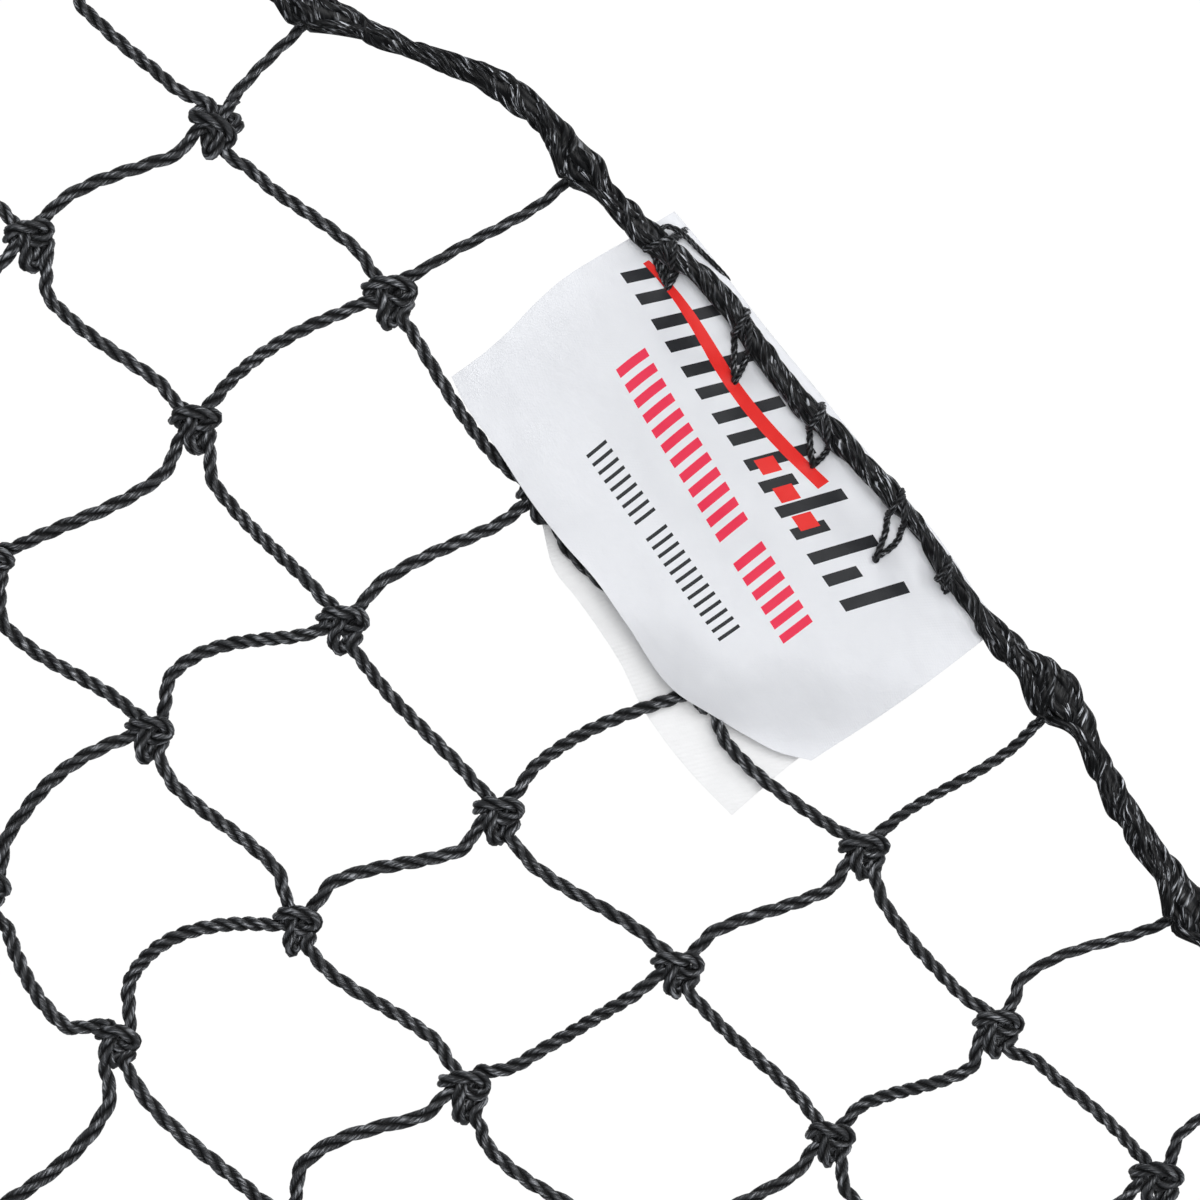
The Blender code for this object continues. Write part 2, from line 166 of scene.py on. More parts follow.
# A knot's bight and tuck are written as the picture shows them, in millimetres: to the
# right, to the top and towards the camera.
PICTURE_RIGHT = np.array((-0.6626, -0.7490, 0.0))
PICTURE_TOP = np.array((0.7490, -0.6626, 0.0))
UPWARD = np.array((0.0, 0.0, 1.0))
BIGHT = np.array((
    (-3.3, 3.7, 0.2), (-1.6, 2.3, 0.6), (-1.0, 0.5, 1.1), (-1.1, -1.8, 1.0),
    (-0.7, -3.3, 0.5), (0.1, -3.8, -0.2), (0.8, -2.6, -0.9), (0.8, 0.0, -1.1),
    (1.5, 2.2, -0.6), (3.3, 3.7, 0.0)))
TUCK = np.array((
    (-3.9, -0.7, 0.0), (-1.5, -0.3, 0.0), (0.6, -0.5, 0.0), (2.2, -0.2, 0.3),
    (3.3, 0.8, 0.6), (2.4, 1.8, 1.8), (0.0, 1.9, 2.6), (-2.4, 1.5, 1.8),
    (-3.4, 0.7, 0.3), (-2.4, 0.6, -1.6), (0.0, 0.6, -2.6), (2.0, 0.0, -1.8),
    (2.6, -1.2, -0.4), (2.0, -2.8, 0.3), (3.4, -4.8, 0.1)))
STRANDS = 3


def curve_through(places, values, at):
    """A smooth curve that has these values at these rising places, read at other places."""
    slope = np.gradient(values, places, axis=0)
    piece = np.clip(np.searchsorted(places, at, side="right") - 1, 0, len(places) - 2)
    width = places[piece + 1] - places[piece]
    t = (at - places[piece]) / width
    if values.ndim > 1:
        width, t = width[:, None], t[:, None]
    return (values[piece] * (1 + 2 * t) * (1 - t) ** 2 + values[piece + 1] * t * t * (3 - 2 * t)
            + width * slope[piece] * t * (1 - t) ** 2
            - width * slope[piece + 1] * t * t * (1 - t))


def distance_along(line):
    """How far along a line each of its points is."""
    return np.concatenate(([0.0], np.linalg.norm(np.diff(line, axis=0), axis=1).cumsum()))


def even_line(points, spacing):
    """A smooth curve through points, resampled to even steps."""
    points = np.asarray(points, float)
    steps = np.maximum(np.linalg.norm(np.diff(points, axis=0), axis=1), 1e-7)
    chord = np.concatenate(([0.0], np.cumsum(steps)))
    fine = np.linspace(0.0, chord[-1], int(chord[-1] / spacing * 4) + 8)
    line = curve_through(chord, points, fine)
    walked = distance_along(line)
    at = np.linspace(0.0, walked[-1], max(3, round(walked[-1] / spacing) + 1))
    return np.stack([np.interp(at, walked, line[:, axis]) for axis in range(3)], axis=1)


def strand_ring(sides, spread):
    """Radii round a laid cord: the outline of three round strands side by side."""
    angle = np.arange(sides) * 2 * math.pi / sides
    off_strand = np.abs((angle % (2 * math.pi / STRANDS)) - math.pi / STRANDS)
    return (spread * np.cos(off_strand)
            + np.sqrt((1 - spread) ** 2 - (spread * np.sin(off_strand)) ** 2))


def tube_quads(rings, sides):
    """A tube's quads, and the ring and the side that each of their corners lies on."""
    i, k = np.meshgrid(np.arange(rings - 1), np.arange(sides), indexing="ij")
    ring = np.stack([i, i, i + 1, i + 1], axis=-1).reshape(-1, 4)
    side = np.stack([k, k + 1, k + 1, k], axis=-1).reshape(-1, 4)
    return ring * sides + side % sides, ring, side


def sweep(line, radius, ring, lay=None, start=0.0):
    """Sweeps a ring along a line, turned once per lay, and closes both ends."""
    line = np.asarray(line, float)
    count, sides = len(line), len(ring)
    tangent = np.gradient(line, axis=0)
    tangent /= np.linalg.norm(tangent, axis=1)[:, None]
    side = np.empty_like(line)
    here = np.cross(tangent[0], (0.31, 0.23, 0.92))
    for index in range(count):
        here = here - tangent[index] * here.dot(tangent[index])
        here = here / np.linalg.norm(here)
        side[index] = here
    up = np.cross(tangent, side)
    walked = distance_along(line)
    turn = np.full(count, start)
    if lay is not None:
        turned = np.gradient(walked) / lay
        turned = np.cumsum(turned) - turned[0]
        turn = turn + 2 * math.pi * turned + 0.3 * np.sin(turned * 2.3 + start)
    angle = turn[:, None] + np.arange(sides)[None, :] * 2 * math.pi / sides
    reach = np.broadcast_to(np.asarray(radius, float), count)[:, None] * ring[None, :]
    points = (line[:, None, :]
              + reach[..., None] * (np.cos(angle)[..., None] * side[:, None, :]
                                    + np.sin(angle)[..., None] * up[:, None, :]))
    quads, on_ring, on_side = tube_quads(count, sides)
    quad_uv = np.stack([walked[on_ring], on_side / sides], axis=-1).reshape(-1, 2)
    ends = [list(range(sides - 1, -1, -1)),
            list(range((count - 1) * sides, count * sides))]
    end_uv = np.array([(walked[0], 0.5)] * sides + [(walked[-1], 0.5)] * sides)
    return points.reshape(-1, 3), quads, ends, np.concatenate([quad_uv, end_uv])


def make_piece(name, cords, material):
    """One mesh object out of several swept cords."""
    vertices, faces, uvs, base = [], [], [], 0
    for points, quads, ends, uv in cords:
        vertices.append(points)
        faces.extend((quads + base).tolist())
        faces.extend([[corner + base for corner in end] for end in ends])
        uvs.append(uv)
        base += len(points)
    mesh = bpy.data.meshes.new(name)
    mesh.from_pydata(np.concatenate(vertices).tolist(), [], faces)
    layer = mesh.uv_layers.new(name="along_cord")
    layer.data.foreach_set("uv", np.concatenate(uvs).astype(np.float32).ravel())
    mesh.shade_smooth()
    mesh.materials.append(material)
    item = bpy.data.objects.new(name, mesh)
    bpy.context.scene.collection.objects.link(item)
    return item


def math_node(nodes, links, operation, first, second=None, third=None):
    """A Math node whose inputs are sockets or numbers."""
    node = nodes.new("ShaderNodeMath")
    node.operation = operation
    for index, value in enumerate((first, second, third)):
        if value is None:
            continue
        if isinstance(value, (int, float)):
            node.inputs[index].default_value = value
        else:
            links.new(value, node.inputs[index])
    return node.outputs[0]


def start_group(name, inputs, outputs):
    """An empty node group with number sockets, and its nodes and links."""
    group = bpy.data.node_groups.new(name, "ShaderNodeTree")
    for in_out, socket_names in (("INPUT", inputs), ("OUTPUT", outputs)):
        for socket_name in socket_names:
            group.interface.new_socket(socket_name, in_out=in_out, socket_type="NodeSocketFloat")
    return group, group.nodes, group.links


def start_material(name, uv_name, values):
    """A new material: its nodes and links, its main shader and its two map coordinates."""
    material = bpy.data.materials.new(name)
    material.use_nodes = True
    nodes, links = material.node_tree.nodes, material.node_tree.links
    shader = nodes["Principled BSDF"]
    for input_name, value in values.items():
        shader.inputs[input_name].default_value = value
    place = nodes.new("ShaderNodeUVMap")
    place.uv_map = uv_name
    split = nodes.new("ShaderNodeSeparateXYZ")
    links.new(place.outputs["UV"], split.inputs["Vector"])
    return material, nodes, links, shader, place.outputs["UV"], split.outputs


def mix_colours(nodes, links, share, first, second):
    """A mix of two colours, each a socket or three numbers."""
    mix = nodes.new("ShaderNodeMix")
    mix.data_type = "RGBA"
    links.new(share, mix.inputs["Factor"])
    for name, colour in (("A", first), ("B", second)):
        if isinstance(colour, tuple):
            mix.inputs[name].default_value = (*colour, 1.0)
        else:
            links.new(colour, mix.inputs[name])
    return mix.outputs["Result"]


def make_fibre_bump_and_glint_group():
    """Streaks along a cord's fibres: a mask for glints painted into the cord's colour, and a height
    for the fibres' bump.
    """
    group, nodes, links = start_group(
        "fibre_bump_and_painted_glints", ("Along", "Around", "Length scale", "Girth scale"), ("Glint", "Height"))
    given = nodes.new("NodeGroupInput")
    result = nodes.new("NodeGroupOutput")
    place = nodes.new("ShaderNodeCombineXYZ")
    for coordinate, scale, axis in (("Along", "Length scale", "X"), ("Around", "Girth scale", "Y")):
        links.new(math_node(nodes, links, "MULTIPLY", given.outputs[coordinate],
                            given.outputs[scale]), place.inputs[axis])
    fine = add_node(nodes, "TexNoise", {"Scale": 1.0, "Detail": 3.0, "Roughness": 0.6})
    links.new(place.outputs["Vector"], fine.inputs["Vector"])
    broad = add_node(nodes, "TexNoise", {"Scale": 0.28, "Detail": 1.0})
    links.new(place.outputs["Vector"], broad.inputs["Vector"])
    # Fibre streaks, cut down in broad patches, make the mask of painted glints.
    streak = add_node(nodes, "MapRange", {"From Min": 0.46, "From Max": 0.61})
    streak.interpolation_type = "SMOOTHSTEP"
    links.new(fine.outputs["Fac"], streak.inputs["Value"])
    patch = add_node(nodes, "MapRange", {"From Min": 0.38, "From Max": 0.6, "To Min": 0.15})
    links.new(broad.outputs["Fac"], patch.inputs["Value"])
    links.new(math_node(nodes, links, "MULTIPLY", streak.outputs["Result"],
                        patch.outputs["Result"]), result.inputs["Glint"])
    links.new(fine.outputs["Fac"], result.inputs["Height"])
    return group


fibre_bump_and_painted_glints = make_fibre_bump_and_glint_group()


def make_cord_material(name, light, length_scale, girth_scale, fibre_relief,
                       strand_relief=0.0, lay=None, even=0.2, sharp=1.0, slant=0.0):
    """Black nylon cord.  With a lay, the strands are drawn on a plain round tube.  The slant
    turns the fibres back across their strands, towards the cord's own direction.  Light is
    the colour of the glints, painted highlights in the cord's colour that are brightest on
    each strand's crown; towards the grooves between strands the colour is painted darker
    as shade.  Even is the painted light between the glints, and sharp makes the glints fewer."""
    material, nodes, links, shader, _, split = start_material(
        name, "along_cord", {"Roughness": 0.3, "Sheen Weight": 0.03, "Sheen Roughness": 0.4})
    along, around = split["X"], split["Y"]
    if lay:
        around = math_node(nodes, links, "MULTIPLY_ADD", along, -1.0 / lay, around)
    wave = math_node(nodes, links, "MULTIPLY", around, math.pi * STRANDS)
    crown = math_node(nodes, links, "ABSOLUTE", math_node(nodes, links, "SINE", wave))
    fibres = nodes.new("ShaderNodeGroup")
    fibres.node_tree = fibre_bump_and_painted_glints
    fibres.inputs["Length scale"].default_value = length_scale
    fibres.inputs["Girth scale"].default_value = girth_scale
    links.new(along, fibres.inputs["Along"])
    links.new(math_node(nodes, links, "MULTIPLY_ADD", along, slant, around),
              fibres.inputs["Around"])
    # Painted highlights and shade: the glint mask, lifted by even and cut down towards the grooves
    # between strands, lightens the cord's colour below to a slightly bluish grey.
    lit = math_node(nodes, links, "POWER", fibres.outputs["Glint"], sharp)
    lit = math_node(nodes, links, "MULTIPLY_ADD", lit, 1.0 - even, even)
    lit = math_node(nodes, links, "MULTIPLY", lit, math_node(nodes, links, "POWER", crown, 2.2))
    links.new(mix_colours(nodes, links, lit, (0.0036, 0.0038, 0.0042),
                          (light * 0.96, light, light * 1.08)), shader.inputs["Base Color"])
    links.new(math_node(nodes, links, "MULTIPLY_ADD", lit, 0.9, 0.1),
              shader.inputs["Specular IOR Level"])
    height = math_node(nodes, links, "MULTIPLY", fibres.outputs["Height"], fibre_relief)
    if lay:
        height = math_node(nodes, links, "MULTIPLY_ADD", crown, strand_relief, height)
    bump = add_node(nodes, "Bump", {"Strength": 1.0, "Distance": 1.0})
    links.new(height, bump.inputs["Height"])
    links.new(bump.outputs["Normal"], shader.inputs["Normal"])
    return material


# In each cord material, the number after the name is the colour of its painted highlights.
twine_close = make_cord_material("black_twine_close", 0.31, 460.0, 22.0, 0.0003, even=0.1,
                                 sharp=1.3, slant=125.0)

# Each knot's place, by column and row: millimetres across the net and behind the mouth.
KNOT_PLACES = {
    (4, 1): (144.5, 40.1), (3, 1): (107.8, 39.0), (2, 1): (69.0, 36.3), (1, 1): (29.4, 39.4),
    (0, 1): (-10.6, 40.3), (-1, 1): (-46.8, 38.3), (-2, 1): (-81.8, 41.1),
    (-3, 1): (-116.7, 38.2), (3, 2): (113.6, 73.1), (2, 2): (74.2, 72.8), (1, 2): (34.9, 76.4),
    (0, 2): (-4.0, 77.8), (-1, 2): (-41.2, 72.9), (-2, 2): (-77.5, 72.6),
    (-3, 2): (-110.6, 72.8), (2, 3): (79.3, 112.5), (1, 3): (42.3, 110.9), (0, 3): (4.1, 113.4),
    (-1, 3): (-33.2, 110.8), (-2, 3): (-72.2, 106.7), (1, 4): (41.4, 146.7),
    (0, 4): (9.2, 147.2), (-1, 4): (-29.9, 146.4), (0, 5): (2.5, 185.2),
}
TIE_PLACES = {3: (110.1, 17.7), 2: (64.0, 2.1), 1: (29.0, 0.0), 0: (-8.5, 0.0),
              -1: (-49.5, 3.3), -2: (-87.0, 8.5)}
# How each run of twine bows to the side of its chord, at about one third and two thirds.
BOW_PLACES = (0.325, 0.665)
CROSSWISE_BOWS = {
    (4, 1): (-5.5, 0.6), (3, 1): (-4.9, 5.3), (2, 1): (-0.7, -4.4), (1, 1): (-5.8, 3.6),
    (0, 1): (-7.4, -1.0), (-1, 1): (-4.8, -1.6), (-2, 1): (-0.1, 3.5), (3, 2): (-9.7, 2.9),
    (2, 2): (-7.5, 1.2), (1, 2): (-3.8, 1.5), (0, 2): (-7.1, 3.8), (-1, 2): (-3.3, 3.0),
    (-2, 2): (-8.2, 1.5), (2, 3): (-11.5, 3.3), (1, 3): (-6.9, 8.5), (0, 3): (-6.4, 7.2),
    (-1, 3): (-10.1, 1.1), (1, 4): (-1.1, -10.3), (0, 4): (-6.3, 0.3),
}
LENGTHWISE_BOWS = {
    (3, 0): (-0.9, -1.5), (2, 0): (2.6, -2.6), (1, 0): (0.0, 0.0), (0, 0): (0.0, 0.0),
    (-1, 0): (3.8, -3.6), (-2, 0): (0.4, -10.5), (3, 1): (3.6, -7.5), (2, 1): (-3.8, -5.7),
    (1, 1): (1.7, -6.1), (0, 1): (-3.0, -7.3), (-1, 1): (6.7, -6.5), (-2, 1): (8.7, -6.5),
    (2, 2): (8.9, -1.1), (1, 2): (-1.2, -15.6), (0, 2): (7.4, -9.6), (-1, 2): (-0.1, 1.1),
    (1, 3): (-7.9, -5.7), (0, 3): (-8.1, -15.5), (-1, 3): (2.1, -14.4), (0, 4): (11.5, 3.1),
    (-2, 2): (4.0, -1.5),
}
# Each run's lay in millimetres: the twine is twisted tighter in some runs than in others.
CROSSWISE_LAYS = {
    (4, 1): 9.3, (3, 1): 10.4, (2, 1): 9.8, (1, 1): 10.0, (0, 1): 9.5, (-1, 1): 9.2,
    (-2, 1): 8.5, (3, 2): 9.7, (2, 2): 8.3, (1, 2): 9.6, (0, 2): 11.9, (-1, 2): 9.5,
    (2, 3): 9.2, (1, 3): 10.4, (0, 3): 9.9, (-1, 3): 10.5, (1, 4): 8.6, (0, 4): 11.8,
}
LENGTHWISE_LAYS = {
    (3, 0): 13.5, (2, 0): 15.0, (-1, 0): 7.4, (-2, 0): 12.3, (3, 1): 15.0, (2, 1): 9.0,
    (1, 1): 12.6, (0, 1): 8.4, (-1, 1): 11.9, (-2, 1): 7.2, (2, 2): 11.9, (1, 2): 8.2,
    (0, 2): 12.1, (-1, 2): 7.7, (-2, 2): 13.7, (1, 3): 12.5, (0, 3): 7.4, (-1, 3): 14.9,
    (0, 4): 13.4,
}
CLOSE_KNOTS = {(column, row) for row in range(1, 6) for column in range(-5 + row, 6 - row)}
CLOSE_KNOTS |= {(column, 1) for column in (-4, 4)} | {(column, 2) for column in (-3, 4)}
CLOSE_STEP = 0.0005
KNOT_LAY = 0.009
# How much of a run's rise or dip each of its five places has.
RISE_SHARES = (0.4, 0.8, 1.0, 0.8, 0.4)
# The mouth rope's line and its width, in millimetres, by the place across the net.
ROPE_WANDER = np.array((
    (-160.0, 0.0), (-130.0, 1.5), (-105.0, 5.5), (-92.0, 6.3), (-83.0, 5.1), (-74.0, 4.1),
    (-65.0, 2.4), (-59.0, 0.8), (-53.0, -1.0), (-47.0, -1.0), (-41.0, -0.5), (-35.0, 0.1),
    (-30.5, 0.0), (-26.0, -0.6), (-21.5, -0.6), (-16.5, -1.8), (-12.0, -2.1), (-8.0, -2.2),
    (4.0, -1.8), (16.0, -1.2), (25.0, -2.0), (32.0, -2.8), (38.0, -2.6), (43.0, -1.7),
    (52.0, -0.3), (61.0, -0.3), (70.0, -0.4), (76.0, -0.2), (82.0, 1.3), (88.0, 3.7),
    (94.0, 7.0), (100.0, 10.0), (106.0, 12.8), (112.0, 15.8), (122.0, 18.0), (140.0, 16.0),
    (174.0, 7.0), (210.0, 0.0)))
ROPE_WIDTHS = np.array((
    (-130.0, 5.2), (-92.0, 5.2), (-87.5, 7.2), (-83.0, 6.0), (-77.0, 4.9), (-68.0, 5.1),
    (-60.0, 4.5), (-53.0, 5.6), (-49.0, 8.0), (-45.5, 8.2), (-41.0, 6.1), (-36.0, 5.0),
    (-31.0, 3.6), (-27.0, 3.4), (-22.0, 3.9), (-16.5, 3.1), (-12.0, 3.8), (-4.0, 4.0),
    (12.0, 4.2), (22.0, 3.8), (28.0, 4.1), (36.0, 3.9), (45.0, 4.6), (54.0, 4.9),
    (60.5, 4.7), (64.5, 6.8), (68.0, 6.1), (73.0, 5.0), (84.0, 5.2), (90.0, 4.1),
    (94.0, 3.5), (100.0, 4.3), (106.0, 5.4), (110.5, 6.6), (115.0, 5.4), (130.0, 5.2)))
# The rope's height over the panel, and how it climbs on the label that lies under it.
ROPE_HEIGHT = 5.45
LABEL_CLIMB = 0.7
LABEL_MIDDLE = 10.0
LABEL_HALF_LENGTH = 41.0
CLIMB_STARTS = 2.7
CLIMB_RUN = 8.1
KNOT_SLACK_REACH = 45.0
KNOT_SLACK_FADE = 0.2
# The twines lie level between the label's flaps, and lower where the tape is drawn down.
BETWEEN_FLAPS = (-34.0, 53.0)
FLAP_DEPTH = 40.0
DRAWN_DOWN_FROM = -13.0
DRAWN_DOWN = -1.3
PRESSED_KNOT = (0.85, 0.85, 0.65)


def smooth_through(table, x):
    """The value at x of a smooth curve through the table's (x, value) rows."""
    places = table[:, 0]
    return curve_through(places, table[:, 1], np.clip(x, places[0], places[-1]))


def on_top(x, depth, height):
    """A place on the top panel, from millimetres across, behind the mouth and above."""
    return np.array((x / 1000, MOUTH_Y + depth / 1000, MOUTH_HEIGHT + height / 1000))


def rope_middle(x):
    """The mouth rope's depth and height in millimetres, lifted where it lies on the label."""
    past_label = abs(x - LABEL_MIDDLE) - LABEL_HALF_LENGTH - CLIMB_STARTS
    share = np.clip(1.0 - past_label / CLIMB_RUN, 0.0, 1.0)
    climb = LABEL_CLIMB * share * share * (3 - 2 * share)
    return smooth_through(ROPE_WANDER, x), ROPE_HEIGHT + climb


def knot_middle(column, row):
    """A knot's place in millimetres; the slack fades away from the knots by the label."""
    if (column, row) in KNOT_PLACES:
        return np.array(KNOT_PLACES[(column, row)])
    home = np.array((column, row)) * MESH * 1000
    total, shift = KNOT_SLACK_FADE, np.zeros(2)
    for (near_column, near_row), place in KNOT_PLACES.items():
        near = np.array((near_column, near_row)) * MESH * 1000
        weight = math.exp(-(np.linalg.norm(near - home) / KNOT_SLACK_REACH) ** 2)
        shift += weight * (np.array(place) - near)
        total += weight
    return home + shift / total


def run_between(start, end, bows):
    """Five places along a bowed run of twine, in millimetres on the panel."""
    start, end = np.asarray(start, float), np.asarray(end, float)
    chord = end - start
    across = np.array((-chord[1], chord[0])) / np.linalg.norm(chord)
    first = start + chord * BOW_PLACES[0] + across * bows[0]
    second = start + chord * BOW_PLACES[1] + across * bows[1]
    t = np.linspace(0.2, 0.8, 5)[:, None]
    return ((1 - t) ** 3 * start + 3 * t * (1 - t) ** 2 * first
            + 3 * t * t * (1 - t) * second + t ** 3 * end)


def knot_points(column, row, shape):
    """Places of a knot's bight or tuck in the world, each knot pulled a little differently."""
    chance = np.random.default_rng(1000 + column * 40 + row)
    turn = math.radians(chance.uniform(-14, 10))
    size = chance.uniform(0.92, 1.06)
    tall = chance.uniform(1.0, 1.18)
    lean = chance.uniform(-0.25, 0.25)
    wobble = chance.normal(0.0, 0.16, (len(BIGHT) + len(TUCK), 3))
    local = shape + (wobble[:len(BIGHT)] if shape is BIGHT else wobble[len(BIGHT):])
    a = size * (local[:, 0] * math.cos(turn) - local[:, 1] * math.sin(turn))
    b = size * tall * (local[:, 0] * math.sin(turn) + local[:, 1] * math.cos(turn))
    turned_over = (column, row) == (3, 1)
    c = size * local[:, 2] * (-1.0 if turned_over else 1.0) + lean * local[:, 0]
    between_flaps = row == 1 and column in (0, 1)
    if between_flaps:
        a, b, c = a * PRESSED_KNOT[0], b * PRESSED_KNOT[1], c * PRESSED_KNOT[2]
    x, depth = knot_middle(column, row)
    middle = on_top(x, depth, 0.0)
    return middle + (a[:, None] * PICTURE_RIGHT + b[:, None] * PICTURE_TOP
                     + c[:, None] * UPWARD) / 1000


def lay_close_twine(last_column):
    """The twine that ends at one tie on the mouth rope, knot by knot, as parts of its line."""
    stops = []
    for row in range(6, 0, -1):
        stops.append((last_column + row, row, TUCK))
        stops.append((last_column + row - 1, row, BIGHT))
    stops.append((last_column, 0, None))
    chance = np.random.default_rng(500 + last_column)
    parts, current, lays = [], [], []

    def close_part():
        if len(current) > 3:
            line = even_line(np.array(current), CLOSE_STEP)
            steps = np.linalg.norm(np.diff(np.array(current), axis=0), axis=1)
            stations = np.concatenate(([0.0], steps.cumsum())) / steps.sum()
            parts.append((line, np.interp(np.linspace(0.0, 1.0, len(line)), stations, lays)))
        current.clear()
        lays.clear()

    def lead_in(tail, place, column, row):
        """Turns the end of a knot towards the run that leaves it."""
        middle = on_top(*knot_middle(column, row), 0.0)
        towards = on_top(*place, 0.0) - middle
        leg = tail - middle
        blended = (0.3 * leg / np.linalg.norm(leg[:2])
                   + 0.7 * towards / np.linalg.norm(towards[:2]))
        blended *= np.linalg.norm(leg[:2]) / np.linalg.norm(blended[:2])
        return middle + np.array((blended[0], blended[1], leg[2] * 0.6))

    for (column, row, shape), (next_column, next_row, next_shape) in zip(stops, stops[1:]):
        here, there = (column, row) in CLOSE_KNOTS, (next_column, next_row) in CLOSE_KNOTS
        if not (here or there):
            close_part()
            continue
        start, end = knot_middle(column, row), knot_middle(next_column, next_row)
        if next_row == 0:
            end = np.array(TIE_PLACES.get(next_column, (end[0], rope_middle(end[0])[0] + 1.5)))
        if row == next_row:
            places = run_between(start, end, CROSSWISE_BOWS.get((column, row), (-6.0, 2.5)))
            lay = CROSSWISE_LAYS.get((column, row), 9.5) / 1000
        else:
            bows = LENGTHWISE_BOWS.get((next_column, next_row), (2.0, -7.5))
            places = run_between(end, start, bows)[::-1]
            lay = LENGTHWISE_LAYS.get((next_column, next_row), 11.0) / 1000
        if not current:
            if here:
                current.extend(knot_points(column, row, shape))
            else:
                current.append(on_top(*start, 0.0))
            lays.extend([KNOT_LAY] * len(current))
        if here:
            current[-1] = lead_in(current[-1], places[0], column, row)
        rise = chance.uniform(-0.8, 0.8)
        middle_x, middle_depth = places[2]
        between_flaps = (BETWEEN_FLAPS[0] < middle_x < BETWEEN_FLAPS[1]
                         and middle_depth < FLAP_DEPTH)
        for share, place in zip(RISE_SHARES, places):
            flat = DRAWN_DOWN if place[0] < DRAWN_DOWN_FROM else 0.0
            current.append(on_top(*place, flat if between_flaps else rise * share))
        lays.extend([lay] * 5)
        if there:
            knot = list(knot_points(next_column, next_row, next_shape))
            knot[0] = lead_in(knot[0], places[-1], next_column, next_row)
            current.extend(knot)
            lays.extend([KNOT_LAY] * len(knot))
        elif next_row == 0:
            current.extend(tie_points(next_column, end))
            lays.extend([lay] * (len(current) - len(lays)))
            close_part()
        else:
            current.append(on_top(*end, 0.0))
            lays.append(lay)
            close_part()
    close_part()
    return parts


def tie_points(column, end):
    """Where a twine reaches the mouth rope, or the label's fold: it ends inside."""
    under_label = column in (0, 1)
    if under_label:
        return [on_top(end[0], end[1], 0.0), on_top(end[0], end[1] - 1.5, 0.0)]
    depth, height = rope_middle(end[0])
    return [on_top(end[0], end[1] - 0.4, height * 0.6),
            on_top(end[0], (end[1] + depth) / 2 - 0.5, height * 0.85),
            on_top(end[0], depth - 0.5, height)]


STRAND_SPREAD = 0.49
# Between its knots the twine is thin near the rope and swells further behind the mouth.
BEHIND_MOUTH = (30.0, 37.0, 60.0, 110.0, 150.0)
GIRTHS = (0.84, 0.97, 1.0, 1.04, 1.1)
KNOT_REACH, KNOT_FADE = 0.0045, 0.003
close_ring = strand_ring(18, STRAND_SPREAD)
knot_centres = np.array([on_top(*knot_middle(*knot), 0.0) for knot in sorted(CLOSE_KNOTS)])
close_twines = {"netting_by_label_left": [], "netting_by_label_right": []}
for last_column in range(-10, 5):
    for part, lay in lay_close_twine(last_column):
        away = np.linalg.norm(part[:, None, :] - knot_centres[None], axis=2).min(axis=1)
        loose = np.clip((away - KNOT_REACH) / KNOT_FADE, 0.0, 1.0)
        girth = np.interp((part[:, 1] - MOUTH_Y) * 1000, BEHIND_MOUTH, GIRTHS)
        radius = TWINE_RADIUS * (1.0 + (girth - 1.0) * loose)
        cord = sweep(part, radius, close_ring, lay=lay, start=last_column * 1.7)
        side = "right" if last_column > -2 else "left"
        close_twines["netting_by_label_" + side].append(cord)
for name, cords in close_twines.items():
    piece = make_piece(name, cords, twine_close)
    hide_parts("netting_top_lengthwise", "netting_top_crosswise")
    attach(piece, "net")


# Rest of the netting.  The same knotted twine fills the top, the leaning back and both
# sides: each run between two knots hangs a little slack, and its ends are hitched to the
# ropes and seam cords round the panel.
MESHES_ACROSS, MESHES_HIGH, MESHES_TOP_DEPTH, MESHES_BASE_DEPTH = 48, 32, 12, 28
HALF_WIDTH = MESHES_ACROSS * MESH / 2
TOP_DEPTH = MESHES_TOP_DEPTH * MESH
BASE_DEPTH = MESHES_BASE_DEPTH * MESH
BASE_Z = 0.0026
LEAN = math.atan2(BASE_DEPTH - TOP_DEPTH, MOUTH_HEIGHT - BASE_Z)
SLOPE_LENGTH = math.hypot(BASE_DEPTH - TOP_DEPTH, MOUTH_HEIGHT - BASE_Z)
KNOT_STRAY = 0.0013
TOP_KNOT_STRAY = 0.0012
BOW_STRAY = 0.0018
RISE_STRAY = 0.001
# The bows of the two families' runs, and how much wider a five-sided run is drawn.
FAR_BOWS = {"crosswise": (-0.0055, 0.0025), "lengthwise": (0.0015, -0.0065)}
FIVE_SIDED = 1.06
twine_far = make_cord_material("black_twine", 0.15, 330.0, 26.0, 0.00012, 0.0005, 0.0086)

# A far knot is a flattened ball with a band round its top, a waist and a narrow foot.
bpy.ops.object.select_all(action="DESELECT")
bpy.ops.mesh.primitive_ico_sphere_add(subdivisions=2, radius=0.004, location=(0, 0, 0))
far_knot = bpy.context.object
bpy.ops.object.mode_set(mode="EDIT")
bpy.ops.mesh.select_all(action="SELECT")
bpy.ops.transform.resize(value=(0.95, 1.06, 0.72))
bpy.ops.object.mode_set(mode="OBJECT")
for corner in far_knot.data.vertices:
    band = math.exp(-((corner.co.y - 0.0016) / 0.0011) ** 2)
    waist = math.exp(-((corner.co.y + 0.0008) / 0.0009) ** 2)
    corner.co.x *= 1.0 + 0.16 * band - 0.16 * waist
    corner.co.z *= 1.0 + 0.25 * band - 0.22 * waist
    if corner.co.y < -0.0018:
        corner.co.x = corner.co.x * 0.72 - 0.0002
knot_vertices = np.array([corner.co for corner in far_knot.data.vertices])
knot_faces = np.array([list(face.vertices) for face in far_knot.data.polygons])
bpy.data.objects.remove(far_knot, do_unlink=True)


